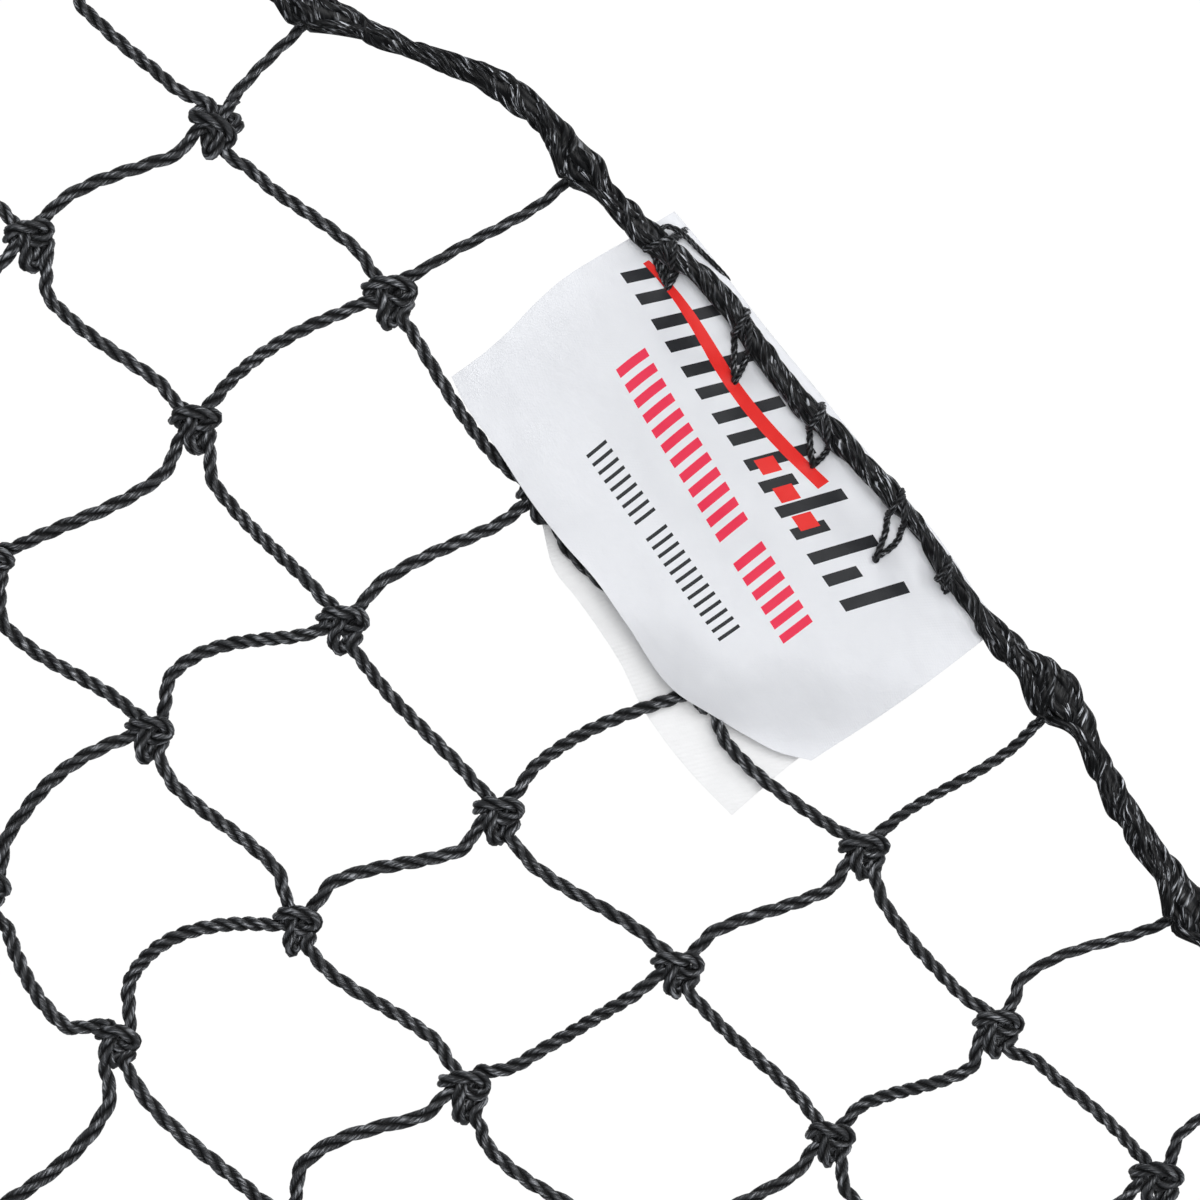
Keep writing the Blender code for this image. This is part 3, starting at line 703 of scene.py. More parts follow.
class Panel:
    """A flat panel of netting: its origin and its directions across, down and outward."""

    def __init__(self, origin, across, down, outward):
        self.origin, self.across = np.array(origin), np.array(across)
        self.down, self.outward = np.array(down), np.array(outward)

    def place(self, points, height=0.0):
        points = np.asarray(points, float)
        raised = np.broadcast_to(np.asarray(height, float), points.shape[:-1])
        return (self.origin + points[..., :1] * self.across + points[..., 1:] * self.down
                + raised[..., None] * self.outward)


def far_knots(panel, centres, chance):
    """Copies of the plain knot, each turned and sized a little differently."""
    cords = []
    right = PICTURE_RIGHT[0] * panel.across + PICTURE_RIGHT[1] * panel.down
    top = PICTURE_TOP[0] * panel.across + PICTURE_TOP[1] * panel.down
    u = knot_vertices[knot_faces, 1].reshape(-1)
    v = np.arctan2(knot_vertices[knot_faces, 2], knot_vertices[knot_faces, 0]) / (2 * math.pi)
    v = np.where(v - v[:, :1] > 0.5, v - 1.0, np.where(v - v[:, :1] < -0.5, v + 1.0, v))
    uv = np.stack([u, v.reshape(-1)], axis=1)
    for middle in panel.place(centres):
        turn, size = chance.uniform(-0.25, 0.25), chance.uniform(0.92, 1.06)
        a = knot_vertices[:, 0] * math.cos(turn) - knot_vertices[:, 1] * math.sin(turn)
        b = knot_vertices[:, 0] * math.sin(turn) + knot_vertices[:, 1] * math.cos(turn)
        points = middle + size * (a[:, None] * right + b[:, None] * top
                                  + knot_vertices[:, 2:] * np.cross(right, top))
        cords.append((points, knot_faces, [], uv))
    return cords


def far_runs(panel, starts, ends, bows, chance):
    """Five-sided runs of slack twine between knots, all at once."""
    starts, ends = np.asarray(starts, float), np.asarray(ends, float)
    count, rings, sides = len(starts), 6, 5
    chord = ends - starts
    length = np.linalg.norm(chord, axis=1)[:, None]
    across = np.stack([-chord[:, 1], chord[:, 0]], axis=1) / length
    bow = (np.array(bows) + chance.normal(0.0, BOW_STRAY, (count, 2))) * length / MESH
    first = starts + chord * BOW_PLACES[0] + across * bow[:, :1]
    second = starts + chord * BOW_PLACES[1] + across * bow[:, 1:]
    t = np.linspace(0.0, 1.0, rings)[None, :, None]
    line = ((1 - t) ** 3 * starts[:, None] + 3 * t * (1 - t) ** 2 * first[:, None]
            + 3 * t * t * (1 - t) * second[:, None] + t ** 3 * ends[:, None])
    rise = chance.uniform(-RISE_STRAY, RISE_STRAY, (count, 1)) * np.sin(math.pi * t[..., 0])
    middle = panel.place(line, rise)
    tangent = np.gradient(middle, axis=1)
    tangent /= np.linalg.norm(tangent, axis=2)[..., None]
    side = np.cross(panel.outward, tangent)
    side /= np.linalg.norm(side, axis=2)[..., None]
    up = np.cross(tangent, side)
    angle = np.arange(sides) * 2 * math.pi / sides
    points = middle[:, :, None] + TWINE_RADIUS * FIVE_SIDED * (
        np.cos(angle)[:, None] * side[:, :, None] + np.sin(angle)[:, None] * up[:, :, None])
    steps = np.linalg.norm(np.diff(middle, axis=1), axis=2)
    walked = np.concatenate([np.zeros((count, 1)), np.cumsum(steps, axis=1)], axis=1)
    walked += chance.uniform(0.0, 1.0, (count, 1))
    base = (np.arange(count) * rings * sides)[:, None, None]
    corners, on_ring, on_side = tube_quads(rings, sides)
    quads = (corners[None] + base).reshape(-1, 4)
    u = walked[:, on_ring.reshape(-1)]
    v = np.broadcast_to(on_side.reshape(-1) / sides, u.shape)
    uv = np.stack([u, v], axis=-1).reshape(-1, 2)
    near_end = np.arange(sides - 1, -1, -1)
    far_end = np.arange((rings - 1) * sides, rings * sides)
    caps = np.stack([near_end + base[:, 0], far_end + base[:, 0]], axis=1).reshape(-1, sides)
    cap_uv = np.repeat(np.stack([walked[:, [0, -1]].reshape(-1),
                                 np.full(2 * count, 0.5)], axis=1), sides, axis=0)
    return [(points.reshape(-1, 3), quads, caps.tolist(), np.concatenate([uv, cap_uv]))]


def fill_panel(name, panel, knots, runs, nodes, chance):
    """One piece of netting from its knots and its crosswise and lengthwise runs."""
    cords = far_knots(panel, knots, chance)
    for family, bows in FAR_BOWS.items():
        if runs[family]:
            starts, ends = zip(*runs[family])
            cords += far_runs(panel, starts, ends, bows, chance)
    piece = make_piece(name, cords, twine_far)
    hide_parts(*nodes)
    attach(piece, "net")


chance = np.random.default_rng(11)
top = Panel((0.0, MOUTH_Y, MOUTH_HEIGHT), (1, 0, 0), (0, 1, 0), (0, 0, 1))
knots, runs = [], {"crosswise": [], "lengthwise": []}
half = MESHES_ACROSS // 2
rear = MESHES_TOP_DEPTH
top_places = {}
for column in range(-half, half + 1):
    for row in range(rear + 1):
        place = knot_middle(column, row) / 1000
        if abs(column) == half or row == rear:
            place = np.array((column, row)) * MESH
        elif row == 0:
            place = np.array((place[0], rope_middle(place[0] * 1000)[0] / 1000))
        elif (column, row) not in CLOSE_KNOTS and (column, row) not in KNOT_PLACES:
            away = min(1.0, max(abs(column) - 4, row - 5, 0) / 3)
            place = place + chance.normal(0.0, TOP_KNOT_STRAY, 2) * away
        top_places[(column, row)] = place
for (column, row), place in top_places.items():
    inside = abs(column) < half and 0 < row < rear
    if inside and (column, row) not in CLOSE_KNOTS:
        knots.append(place)
    for family, other in (("crosswise", (column - 1, row)), ("lengthwise", (column, row + 1))):
        if other not in top_places or (column, row) in CLOSE_KNOTS or other in CLOSE_KNOTS:
            continue
        if (family == "crosswise" and not 0 < row < rear
                or family == "lengthwise" and abs(column) == half):
            continue
        runs[family].append((place, top_places[other]))
fill_panel("netting_top_rest", top, knots, runs,
           ("netting_top_lengthwise", "netting_top_crosswise"), chance)

back = Panel((0.0, MOUTH_Y + TOP_DEPTH, MOUTH_HEIGHT), (1, 0, 0),
             (0, math.sin(LEAN), -math.cos(LEAN)), (0, math.cos(LEAN), math.sin(LEAN)))
back_rows = round(SLOPE_LENGTH / MESH)
back_spacing = SLOPE_LENGTH / back_rows
back_places = {}
for column in range(-half, half + 1):
    for row in range(back_rows + 1):
        inner = abs(column) < half and 0 < row < back_rows
        shift = chance.normal(0.0, KNOT_STRAY, 2) if inner else np.zeros(2)
        back_places[(column, row)] = np.array((column * MESH, row * back_spacing)) + shift
middle_row = back_rows // 2
for part, rows in (("upper", range(middle_row)), ("lower", range(middle_row, back_rows))):
    knots, runs = [], {"crosswise": [], "lengthwise": []}
    for (column, row), place in back_places.items():
        if row not in rows:
            continue
        if abs(column) < half and row > 0:
            knots.append(place)
        if column > -half and row > 0:
            runs["crosswise"].append((place, back_places[(column - 1, row)]))
        if abs(column) < half:
            runs["lengthwise"].append((place, back_places[(column, row + 1)]))
    fill_panel("netting_back_" + part, back, knots, runs,
               ("netting_back_lengthwise", "netting_back_crosswise"), chance)

side_spacing = (MOUTH_HEIGHT - BASE_Z) / MESHES_HIGH
SHORTEST_RUN = 0.004
SEAM_LOW = 0.008
REAR_SLANT = (BASE_DEPTH - TOP_DEPTH) / (MOUTH_HEIGHT - SEAM_LOW)
side_ties = {}
for side_name, side in (("left", -1), ("right", 1)):
    panel = Panel((side * HALF_WIDTH, MOUTH_Y, BASE_Z), (0, 1, 0), (0, 0, 1), (side, 0, 0))
    places = {}
    for column in range(MESHES_BASE_DEPTH):
        for row in range(MESHES_HIGH + 1):
            place = np.array((column * MESH, row * side_spacing))
            if place[0] < BASE_DEPTH - place[1] * math.tan(LEAN) - SHORTEST_RUN:
                inner = column > 0 and 0 < row < MESHES_HIGH
                shift = chance.normal(0.0, KNOT_STRAY, 2) if inner else np.zeros(2)
                places[(column, row)] = place + shift
    knots, runs, ties = [], {"crosswise": [], "lengthwise": []}, []
    for (column, row), place in places.items():
        inner = column > 0 and 0 < row < MESHES_HIGH
        if inner:
            knots.append(place)
        if 0 < row < MESHES_HIGH:
            over_seam_low = place[1] + BASE_Z - SEAM_LOW
            rear_edge = np.array((BASE_DEPTH - over_seam_low * REAR_SLANT, place[1]))
            after = places.get((column + 1, row), rear_edge)
            runs["crosswise"].append((after, place))
            if after is rear_edge:
                ties.append(rear_edge)
        if column > 0 and row < MESHES_HIGH:
            slanted = np.array((place[0], (BASE_DEPTH - place[0]) / REAR_SLANT
                                + SEAM_LOW - BASE_Z))
            above = places.get((column, row + 1), slanted)
            runs["lengthwise"].append((place, above))
            if above is slanted:
                ties.append(slanted)
    side_ties[side_name] = [panel.place(tie) for tie in ties]
    fill_panel("netting_" + side_name, panel, knots, runs,
               (f"netting_{side_name}_upright", f"netting_{side_name}_level"), chance)


# Mouth rope and base rope.  The border of the net is a bundle of fine black cords twisted
# together, about 5 mm thick, pulled wider where the netting's twine is hitched round it.
rope_close = make_cord_material("black_rope_close", 0.58, 440.0, 12.0, 0.00016, 0.0001, 0.009,
                                even=0.01, sharp=2.7)
rope_far = make_cord_material("black_rope", 0.16, 420.0, 14.0, 0.00015, 0.0003, 0.006)


def crosswise_of(line):
    """Two crosswise directions at each point of a line."""
    tangent = np.gradient(line, axis=0)
    tangent /= np.linalg.norm(tangent, axis=1)[:, None]
    side = np.cross(tangent, (0.0, 0.0, 1.0) if abs(tangent[0][2]) < 0.9 else (0.0, 1.0, 0.0))
    side /= np.linalg.norm(side, axis=1)[:, None]
    return side, np.cross(tangent, side)


def twisted_round(line, reach, count, pitch, wander, chance):
    """Lines that twist round a middle line, each with its own slow wander."""
    walked = distance_along(line)
    side, up = crosswise_of(line)
    made = []
    for index in range(count):
        angle = 2 * math.pi * (index / count + walked / pitch)
        for period in (0.009, 0.017, 0.031):
            angle = angle + wander * chance.uniform(0.5, 1.0) * np.sin(
                walked * 2 * math.pi / period + chance.uniform(0, 6.28))
        pull = 1.0 + 0.35 * wander * np.sin(walked * 2 * math.pi / chance.uniform(0.008, 0.016)
                                            + chance.uniform(0, 6.28))
        made.append(line + (reach * pull)[:, None] * (np.cos(angle)[:, None] * side
                                                      + np.sin(angle)[:, None] * up))
    return made


chance = np.random.default_rng(23)
CLOSE_FROM, CLOSE_TO = -128.0, 130.0
route = [on_top(x, *rope_middle(x)) for x in np.arange(CLOSE_FROM, CLOSE_TO + 1, 2.0)]
middle = even_line(np.array(route), CLOSE_STEP)
width = smooth_through(ROPE_WIDTHS, middle[:, 0] * 1000) / 1000
# A core and, twisted round it, five bundles of three yarns: all in shares of the width.
yarns = [sweep(middle, width * 0.34, np.ones(10))]
for cord in twisted_round(middle, width * 0.275, 5, 0.048, 0.4, chance):
    for yarn in twisted_round(cord, width * 0.1, 3, 0.017, 0.45, chance):
        girth = width * chance.uniform(0.095, 0.125)
        yarns.append(sweep(yarn, girth, np.ones(7), start=chance.uniform(0, 6)))
piece = make_piece("mouth_rope_by_label", yarns, rope_close)
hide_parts("mouth_rope_top")
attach(piece, "net")


FAR_ROPE_WIDTH = 0.0052
FAR_ROPE_STEP = 0.0035
ROPE_END_GAP = 8.0
LASHING_GAP = 0.006
BASE_ROPE_Z = 0.0027


def add_far_rope(name, routes, node):
    """Four cords twisted round a core, along one or more routes."""
    cords = []
    for route in routes:
        line = even_line(np.array(route), FAR_ROPE_STEP)
        girth = np.full(len(line), FAR_ROPE_WIDTH)
        cords.append(sweep(line, girth * 0.3, np.ones(6)))
        for cord in twisted_round(line, girth * 0.27, 4, 0.028, 0.2, chance):
            cords.append(sweep(cord, girth * 0.24, np.ones(6)))
    piece = make_piece(name, cords, rope_far)
    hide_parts(node)
    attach(piece, "net")


reach = HALF_WIDTH * 1000 - ROPE_END_GAP
left_part = [on_top(x, *rope_middle(x)) for x in (-reach, -600.0, -400.0, -200.0,
                                                 -170.0, -150.0, -140.0, CLOSE_FROM)]
right_part = [on_top(x, *rope_middle(x)) for x in (CLOSE_TO, 140.0, 150.0, 160.0, 174.0,
                                                  190.0, 210.0, 400.0, 600.0, reach)]
add_far_rope("mouth_rope_top_rest", [left_part, right_part], "mouth_rope_top")
for side_name, side in (("left", -1), ("right", 1)):
    x = side * HALF_WIDTH
    upright = [(x, MOUTH_Y, 0.012), (x, MOUTH_Y, 0.6), (x, MOUTH_Y, MOUTH_HEIGHT - 0.004)]
    add_far_rope("mouth_rope_" + side_name, [upright], "mouth_rope_" + side_name)
    level = [(x, MOUTH_Y + LASHING_GAP, BASE_ROPE_Z), (x, 0.0, BASE_ROPE_Z),
             (x, MOUTH_Y + BASE_DEPTH - LASHING_GAP, BASE_ROPE_Z)]
    add_far_rope("base_rope_" + side_name, [level], "base_rope_" + side_name)
y = MOUTH_Y + BASE_DEPTH
across = [(-HALF_WIDTH + LASHING_GAP, y, BASE_ROPE_Z), (0.0, y, BASE_ROPE_Z),
          (HALF_WIDTH - LASHING_GAP, y, BASE_ROPE_Z)]
add_far_rope("base_rope_rear", [across], "base_rope_rear")


# Seam cords.  A 3.8 mm black cord joins each pair of panels, and the runs of twine of
# both panels are hitched round it.
seam_material = make_cord_material("black_seam_cord", 0.15, 360.0, 24.0, 0.0002, 0.0008, 0.013)
SEAM_RADIUS = 0.0019
SEAM_STATIONS = 200
rear_y, base_y = MOUTH_Y + TOP_DEPTH, MOUTH_Y + BASE_DEPTH
seam_routes = {"seam_cord_top_rear": ((-HALF_WIDTH, rear_y, MOUTH_HEIGHT),
                                      (HALF_WIDTH, rear_y, MOUTH_HEIGHT))}
for side_name, side in (("left", -1), ("right", 1)):
    x = side * HALF_WIDTH
    seam_routes["seam_cord_top_" + side_name] = ((x, MOUTH_Y + LASHING_GAP, MOUTH_HEIGHT),
                                                 (x, rear_y, MOUTH_HEIGHT))
    seam_routes["seam_cord_rear_" + side_name] = ((x, base_y, SEAM_LOW),
                                                  (x, rear_y, MOUTH_HEIGHT))
for name, (start, end) in seam_routes.items():
    start, end = np.array(start), np.array(end)
    line = start + (end - start) * np.linspace(0.0, 1.0, SEAM_STATIONS)[:, None]
    piece = make_piece(name + "_laid", [sweep(line, SEAM_RADIUS, np.ones(8))], seam_material)
    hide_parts(name)
    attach(piece, "net")


# Ties by the label.  The twine's end is opened into its yarns, which are wound round
# the mouth rope both ways and draw it into a pointed lump towards the netting.
TIE_YARN_RADIUS = 0.00058
TIE_YARN_STEPS = 11


def tie_yarn(x, near_depth, way, number):
    """One yarn of an opened twine end, from the tie along the rope to the left or right."""
    points = [on_top(x, near_depth + 0.8, 3.4), on_top(x + way * 0.4, near_depth - 0.4, 4.4)]
    start_angle = chance.uniform(-0.3, 0.6)
    for step in range(1, TIE_YARN_STEPS + 1):
        share = step / TIE_YARN_STEPS
        at = x + way * (0.6 + (6.5 + 1.6 * number) * share)
        depth, height = rope_middle(at)
        angle = start_angle + (0.5 + 0.45 * number) * share
        reach = (smooth_through(ROPE_WIDTHS, at) / 2 - 0.35 - 0.5 * share ** 2
                 + 0.9 * (1 - share) ** 2 * math.cos(angle))
        points.append(on_top(at, depth + reach * math.cos(angle),
                             height + reach * math.sin(angle)))
    line = even_line(np.array(points), CLOSE_STEP)
    return sweep(line, TIE_YARN_RADIUS, np.ones(7), start=chance.uniform(0, 6))


tie_yarns = [tie_yarn(*TIE_PLACES[column], way, number)
             for column in (3, 2, -1, -2) for way in (-1, 1) for number in range(4)]
piece = make_piece("ties_by_label", tie_yarns, rope_close)
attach(piece, "net")


# Far ties.  Everywhere else each run of the netting's twine ends in a turn and a half
# round its rope or seam cord, and is drawn tight.
HITCH_LENGTH = 0.0032
ROPE_HITCH, SEAM_HITCH, BASE_HITCH = 0.0031, 0.0024, 0.0032
BASE_HITCH_Z = 0.0044


def hitch(centre, direction, reach):
    """One turn and a half of twine round a rope or a seam cord."""
    direction = np.asarray(direction, float)
    side = np.cross(direction, (0.37, 0.31, 0.87))
    side /= np.linalg.norm(side)
    up = np.cross(direction, side)
    turn = np.linspace(0.0, 3 * math.pi, 13)[:, None]
    line = (np.asarray(centre) + (turn / (3 * math.pi) - 0.5) * HITCH_LENGTH * direction
            + reach * (np.cos(turn) * side + np.sin(turn) * up))
    return sweep(line, TWINE_RADIUS * 0.9, np.ones(5))


hitches = []
for (column, row), place in top_places.items():
    if row == 0 and abs(column) < half and (column, 1) not in CLOSE_KNOTS:
        depth, height = rope_middle(place[0] * 1000)
        hitches.append(hitch(on_top(place[0] * 1000, depth, height), (1, 0, 0), ROPE_HITCH))
for column in range(-half + 1, half):
    x = column * MESH
    hitches.append(hitch((x, rear_y, MOUTH_HEIGHT), (1, 0, 0), SEAM_HITCH))
    hitches.append(hitch((x, base_y, BASE_HITCH_Z), (1, 0, 0), BASE_HITCH))
slope = (0.0, -math.sin(LEAN), math.cos(LEAN))
for side_name, side in (("left", -1), ("right", 1)):
    x = side * HALF_WIDTH
    for row in range(1, MESHES_TOP_DEPTH):
        hitches.append(hitch((x, MOUTH_Y + row * MESH, MOUTH_HEIGHT), (0, 1, 0), SEAM_HITCH))
    for row in range(1, MESHES_HIGH):
        hitches.append(hitch((x, MOUTH_Y, BASE_Z + row * side_spacing), (0, 0, 1), ROPE_HITCH))
    for column in range(1, MESHES_BASE_DEPTH):
        hitches.append(hitch((x, MOUTH_Y + column * MESH, BASE_HITCH_Z), (0, 1, 0), BASE_HITCH))
    for tie in side_ties[side_name]:
        hitches.append(hitch(tie, slope, SEAM_HITCH))
    for row in range(1, back_rows):
        z = MOUTH_HEIGHT - row * back_spacing * math.cos(LEAN)
        hitches.append(hitch((x, base_y - (z - SEAM_LOW) * REAR_SLANT, z), slope, SEAM_HITCH))
piece = make_piece("edge_hitches", hitches, twine_far)
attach(piece, "net")


# Corner lashings.  Where ropes and seam cords meet, a long end of twine is wound over
# them in three directions until it makes a tight ball.
lashing_material = make_cord_material("black_lashing_twine", 0.15, 330.0, 26.0, 0.00012,
                                      0.0005, 0.0086)
BALL_TURNS = 16
POINTS_PER_TURN = 14


def wind_ball(radius):
    """A twine wound round a ball, whose plane of winding turns slowly."""
    t = np.linspace(0.0, 2 * math.pi * BALL_TURNS, BALL_TURNS * POINTS_PER_TURN)
    tilt = 0.35 + 1.15 * (0.5 - 0.5 * np.cos(t / (2 * BALL_TURNS)))
    swing = t / 9.0 + chance.uniform(0, 6.28)
    axis = np.stack([np.sin(tilt) * np.cos(swing), np.sin(tilt) * np.sin(swing),
                     np.cos(tilt)], axis=1)
    side = np.cross(axis, (0.0, 0.0, 1.0))
    side /= np.linalg.norm(side, axis=1)[:, None]
    up = np.cross(axis, side)
    reach = radius - TWINE_RADIUS * (1.0 + 0.35 * np.sin(t * 0.37))
    return reach[:, None] * (np.cos(t)[:, None] * side + np.sin(t)[:, None] * up)


for side_name in ("left", "right"):
    for corner_name in ("mouth_top", "rear_top", "mouth_base", "rear_base"):
        node = f"lashing_{corner_name}_{side_name}"
        low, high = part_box(node)
        centre, radius = np.array((low + high) / 2), (high.z - low.z) / 2
        winding = centre + wind_ball(radius)
        angles = np.linspace(-1.45, 1.45, 9)
        core = centre + np.stack([0 * angles, 0 * angles, np.sin(angles)], axis=1) * radius * 0.8
        cords = [sweep(winding, TWINE_RADIUS, np.ones(6)),
                 sweep(core, radius * 0.8 * np.cos(angles), np.ones(10))]
        piece = make_piece(f"{node}_wound", cords, lashing_material)
        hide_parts(node)
        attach(piece, "net")


# Label.  A satin tape, printed in plain bands, is folded over the edge of the netting
# under the mouth rope.  Its front flap lies on the netting and its back flap under it.
FOLD_RADIUS = 2.95
TAPE_WIDTH = 83.0
TAPE_LEFT = 51.0
TAPE_THICKNESS = 0.0002
TAPE_COLUMNS, TAPE_ROWS = 150, 90
# The fold's line and the edges of both flaps, in millimetres, by the place across the net
# or, at the sides, by the depth behind the mouth.
FOLD_EDGE = np.array(((-34.5, -1.9), (-29.0, -2.0), (-24.0, -2.7), (-17.5, -3.5),
                      (-10.0, -3.8), (4.3, -4.2), (13.4, -4.65), (27.4, -5.2), (36.0, -5.8),
                      (42.0, -6.25), (53.0, -6.5)))
FRONT_FREE_EDGE = np.array((
    (-30.4, 35.0), (-26.2, 37.9), (-20.8, 40.0), (-14.4, 42.0), (-8.3, 43.8), (5.0, 42.6),
    (14.1, 41.6), (21.2, 41.6), (29.2, 41.1), (39.6, 39.6), (49.1, 38.5),
    (52.9, 37.4)))
FRONT_LEFT = np.array(((-6.2, 49.2), (2.0, 50.6), (8.1, 51.9), (13.9, 52.8), (20.0, 52.8),
                       (26.1, 52.3), (31.0, 52.3), (37.4, 52.9)))
FRONT_RIGHT = np.array(((-3.2, -34.2), (3.3, -33.9), (21.1, -32.4), (35.6, -30.4)))
BACK_FREE_EDGE = np.array((
    (-28.7, 50.2), (-19.0, 50.6), (-12.3, 50.3), (-5.9, 49.4), (1.2, 47.4), (7.0, 46.5),
    (13.6, 45.8), (19.4, 45.4), (26.6, 41.8), (38.0, 37.5), (51.0, 36.0)))
BACK_LEFT = np.array(((-6.2, 49.2), (0.6, 49.4), (36.0, 51.0), (50.0, 51.0)))
BACK_RIGHT = np.array(((-3.2, -34.2), (20.0, -31.0), (37.1, -28.9), (50.2, -28.7)))
PUNCTURES = ((41.2, 2.3), (23.0, 4.0), (4.6, 3.8), (-13.2, 6.2), (-24.3, 1.4))
# Lumps and dimples of the front flap: where, how wide both ways, and how high.  The first
# two lie over knots, and the last is a dimple by the fifth stitch.
FRONT_LUMPS = (((29.4, 38.8), (7.746, 7.746), 1.5), ((-11.0, 39.8), (7.746, 7.746), 1.9),
               ((12.0, 27.0), (26.0, 7.0), -0.6), ((-20.4, 1.9), (1.6, 1.3), -0.9))


def lump(x, depth, middle, spread, height):
    """A smooth lump in a flap, or a dimple where the height is negative."""
    away = ((x - middle[0]) / spread[0]) ** 2 + ((depth - middle[1]) / spread[1]) ** 2
    return height * np.exp(-away)


def front_relief(x, depth):
    """How the front flap rises and dips in millimetres on the netting under it."""
    rise = sum(lump(x, depth, *values) for values in FRONT_LUMPS)
    # Waves that start behind the fold, the swell under the rope, and the free edge's droop.
    clear_of_fold = np.clip((depth - 3.0) / 8.0, 0.0, 1.0)
    rise += 0.4 * np.sin(x / 10.0 + 0.6) * np.sin(depth / 11.0 + 0.4) * clear_of_fold
    rise += 1.1 * np.exp(-((depth - 0.5) / 4.0) ** 2)
    rise -= 0.3 * np.clip((depth - 34.0) / 8.0, 0.0, 1.0) ** 1.5
    # A slanting ridge, past which the flap slopes down, and one corner's droop.
    past_bend = -0.58 * (x - 2.0) + 0.81 * (depth - 40.0)
    rise += np.where(past_bend < 0.0, 1.7 * np.exp(-(past_bend / 13.0) ** 2), 1.7)
    rise -= 0.42 * np.logaddexp(past_bend / 1.5, 0.0) * 1.5
    corner = np.clip((x - 40.0) / 13.0, 0.0, 1.0) * np.clip((depth - 22.0) / 15.0, 0.0, 1.0)
    rise -= 1.2 * corner ** 1.5
    # A dip and a small pucker at each stitch's slot, and a swell between two slots.
    for puncture_x, puncture_depth in PUNCTURES:
        rise += lump(x, depth, (puncture_x, puncture_depth), (2.4, 2.6), -0.9)
        rise += lump(x, depth, (puncture_x - 1.0, puncture_depth + 5.0), (1.6, 4.0), 0.25)
    for left, right in zip(PUNCTURES, PUNCTURES[1:]):
        middle, apart = (left[0] + right[0]) / 2, left[0] - right[0]
        rise += lump(x, depth, (middle, 4.5), (apart / 3.0, 3.4), 0.8)
    # Nowhere does the flap sink past the middle of the netting.
    lowest, softness = -3.0, 2.5
    return np.logaddexp(rise * softness, lowest * softness) / softness


def back_relief(x, depth):
    """How the back flap hangs in millimetres under the netting."""
    rise = 0.4 * np.sin(x / 9.0) * np.clip((depth - 6.0) / 20.0, 0.0, 1.0)
    rise += 0.25 * np.exp(-((x + 4.0 + 0.3 * (depth - 45.0)) / 0.8) ** 2) * (depth > 30.0)
    rise += 1.1 * np.clip((depth - 33.0) / 12.0, 0.0, 1.0)
    return rise


def tape(name, free_edge, left, right, relief, facing):
    """One layer of the tape, from the outside of the fold to its free edge."""
    columns, rows = TAPE_COLUMNS, TAPE_ROWS
    quarter = FOLD_RADIUS * math.pi / 2
    edge_x = np.linspace(0.0, 1.0, columns)
    points = np.zeros((rows, columns, 3))
    uv = np.zeros((rows, columns, 2))
    guess_x = TAPE_LEFT - TAPE_WIDTH * edge_x
    # A point's place across and its depth each depend on the other: four rounds settle both.
    for row, share in enumerate(np.linspace(0.0, 1.0, rows)):
        x = guess_x.copy()
        for _ in range(4):
            fold = smooth_through(FOLD_EDGE, x)
            length = quarter + smooth_through(free_edge, x) - fold - FOLD_RADIUS
            walked = length * share
            angle = np.minimum(walked / FOLD_RADIUS, math.pi / 2)
            depth = fold + FOLD_RADIUS * (1 - np.cos(angle)) + np.maximum(walked - quarter, 0.0)
            x_left, x_right = smooth_through(left, depth), smooth_through(right, depth)
            x = x_left + (x_right - x_left) * edge_x
        height = facing * FOLD_RADIUS * np.sin(angle)
        height = height + relief(x, depth) * np.clip((walked - quarter) / 1.5, 0.0, 1.0)
        points[row] = np.stack([x / 1000, MOUTH_Y + depth / 1000,
                                MOUTH_HEIGHT + height / 1000], axis=1)
        uv[row] = np.stack([TAPE_WIDTH * edge_x, walked], axis=1)
    i, k = np.meshgrid(np.arange(rows - 1), np.arange(columns - 1), indexing="ij")
    corners = [i * columns + k, i * columns + k + 1,
               (i + 1) * columns + k + 1, (i + 1) * columns + k]
    if facing < 0:
        corners = corners[::-1]
    faces = np.stack(corners, axis=-1).reshape(-1, 4)
    mesh = bpy.data.meshes.new(name)
    mesh.from_pydata(points.reshape(-1, 3).tolist(), [], faces.tolist())
    layer = mesh.uv_layers.new(name="tape_millimetres")
    layer.data.foreach_set("uv", uv.reshape(-1, 2)[faces.reshape(-1)].astype(np.float32).ravel())
    mesh.shade_smooth()
    item = bpy.data.objects.new(name, mesh)
    bpy.context.scene.collection.objects.link(item)
    bpy.ops.object.select_all(action="DESELECT")
    item.select_set(True)
    bpy.context.view_layer.objects.active = item
    bpy.ops.object.mode_set(mode="EDIT")
    bpy.ops.mesh.select_all(action="SELECT")
    bpy.ops.mesh.normals_make_consistent(inside=False)
    bpy.ops.object.mode_set(mode="OBJECT")
    thickness = item.modifiers.new("tape_thickness", "SOLIDIFY")
    thickness.thickness = TAPE_THICKNESS
    thickness.offset = 0.0
    bpy.ops.object.modifier_apply(modifier=thickness.name)
    bpy.ops.object.shade_smooth_by_angle(angle=math.radians(50))
    return item


# The weave's threads and its rib, in radians per millimetre of tape.
WARP_TURN, WEFT_TURN = 21.0, 16.0
RIB_TURN_ALONG, RIB_TURN_ACROSS = 7.5, 3.8


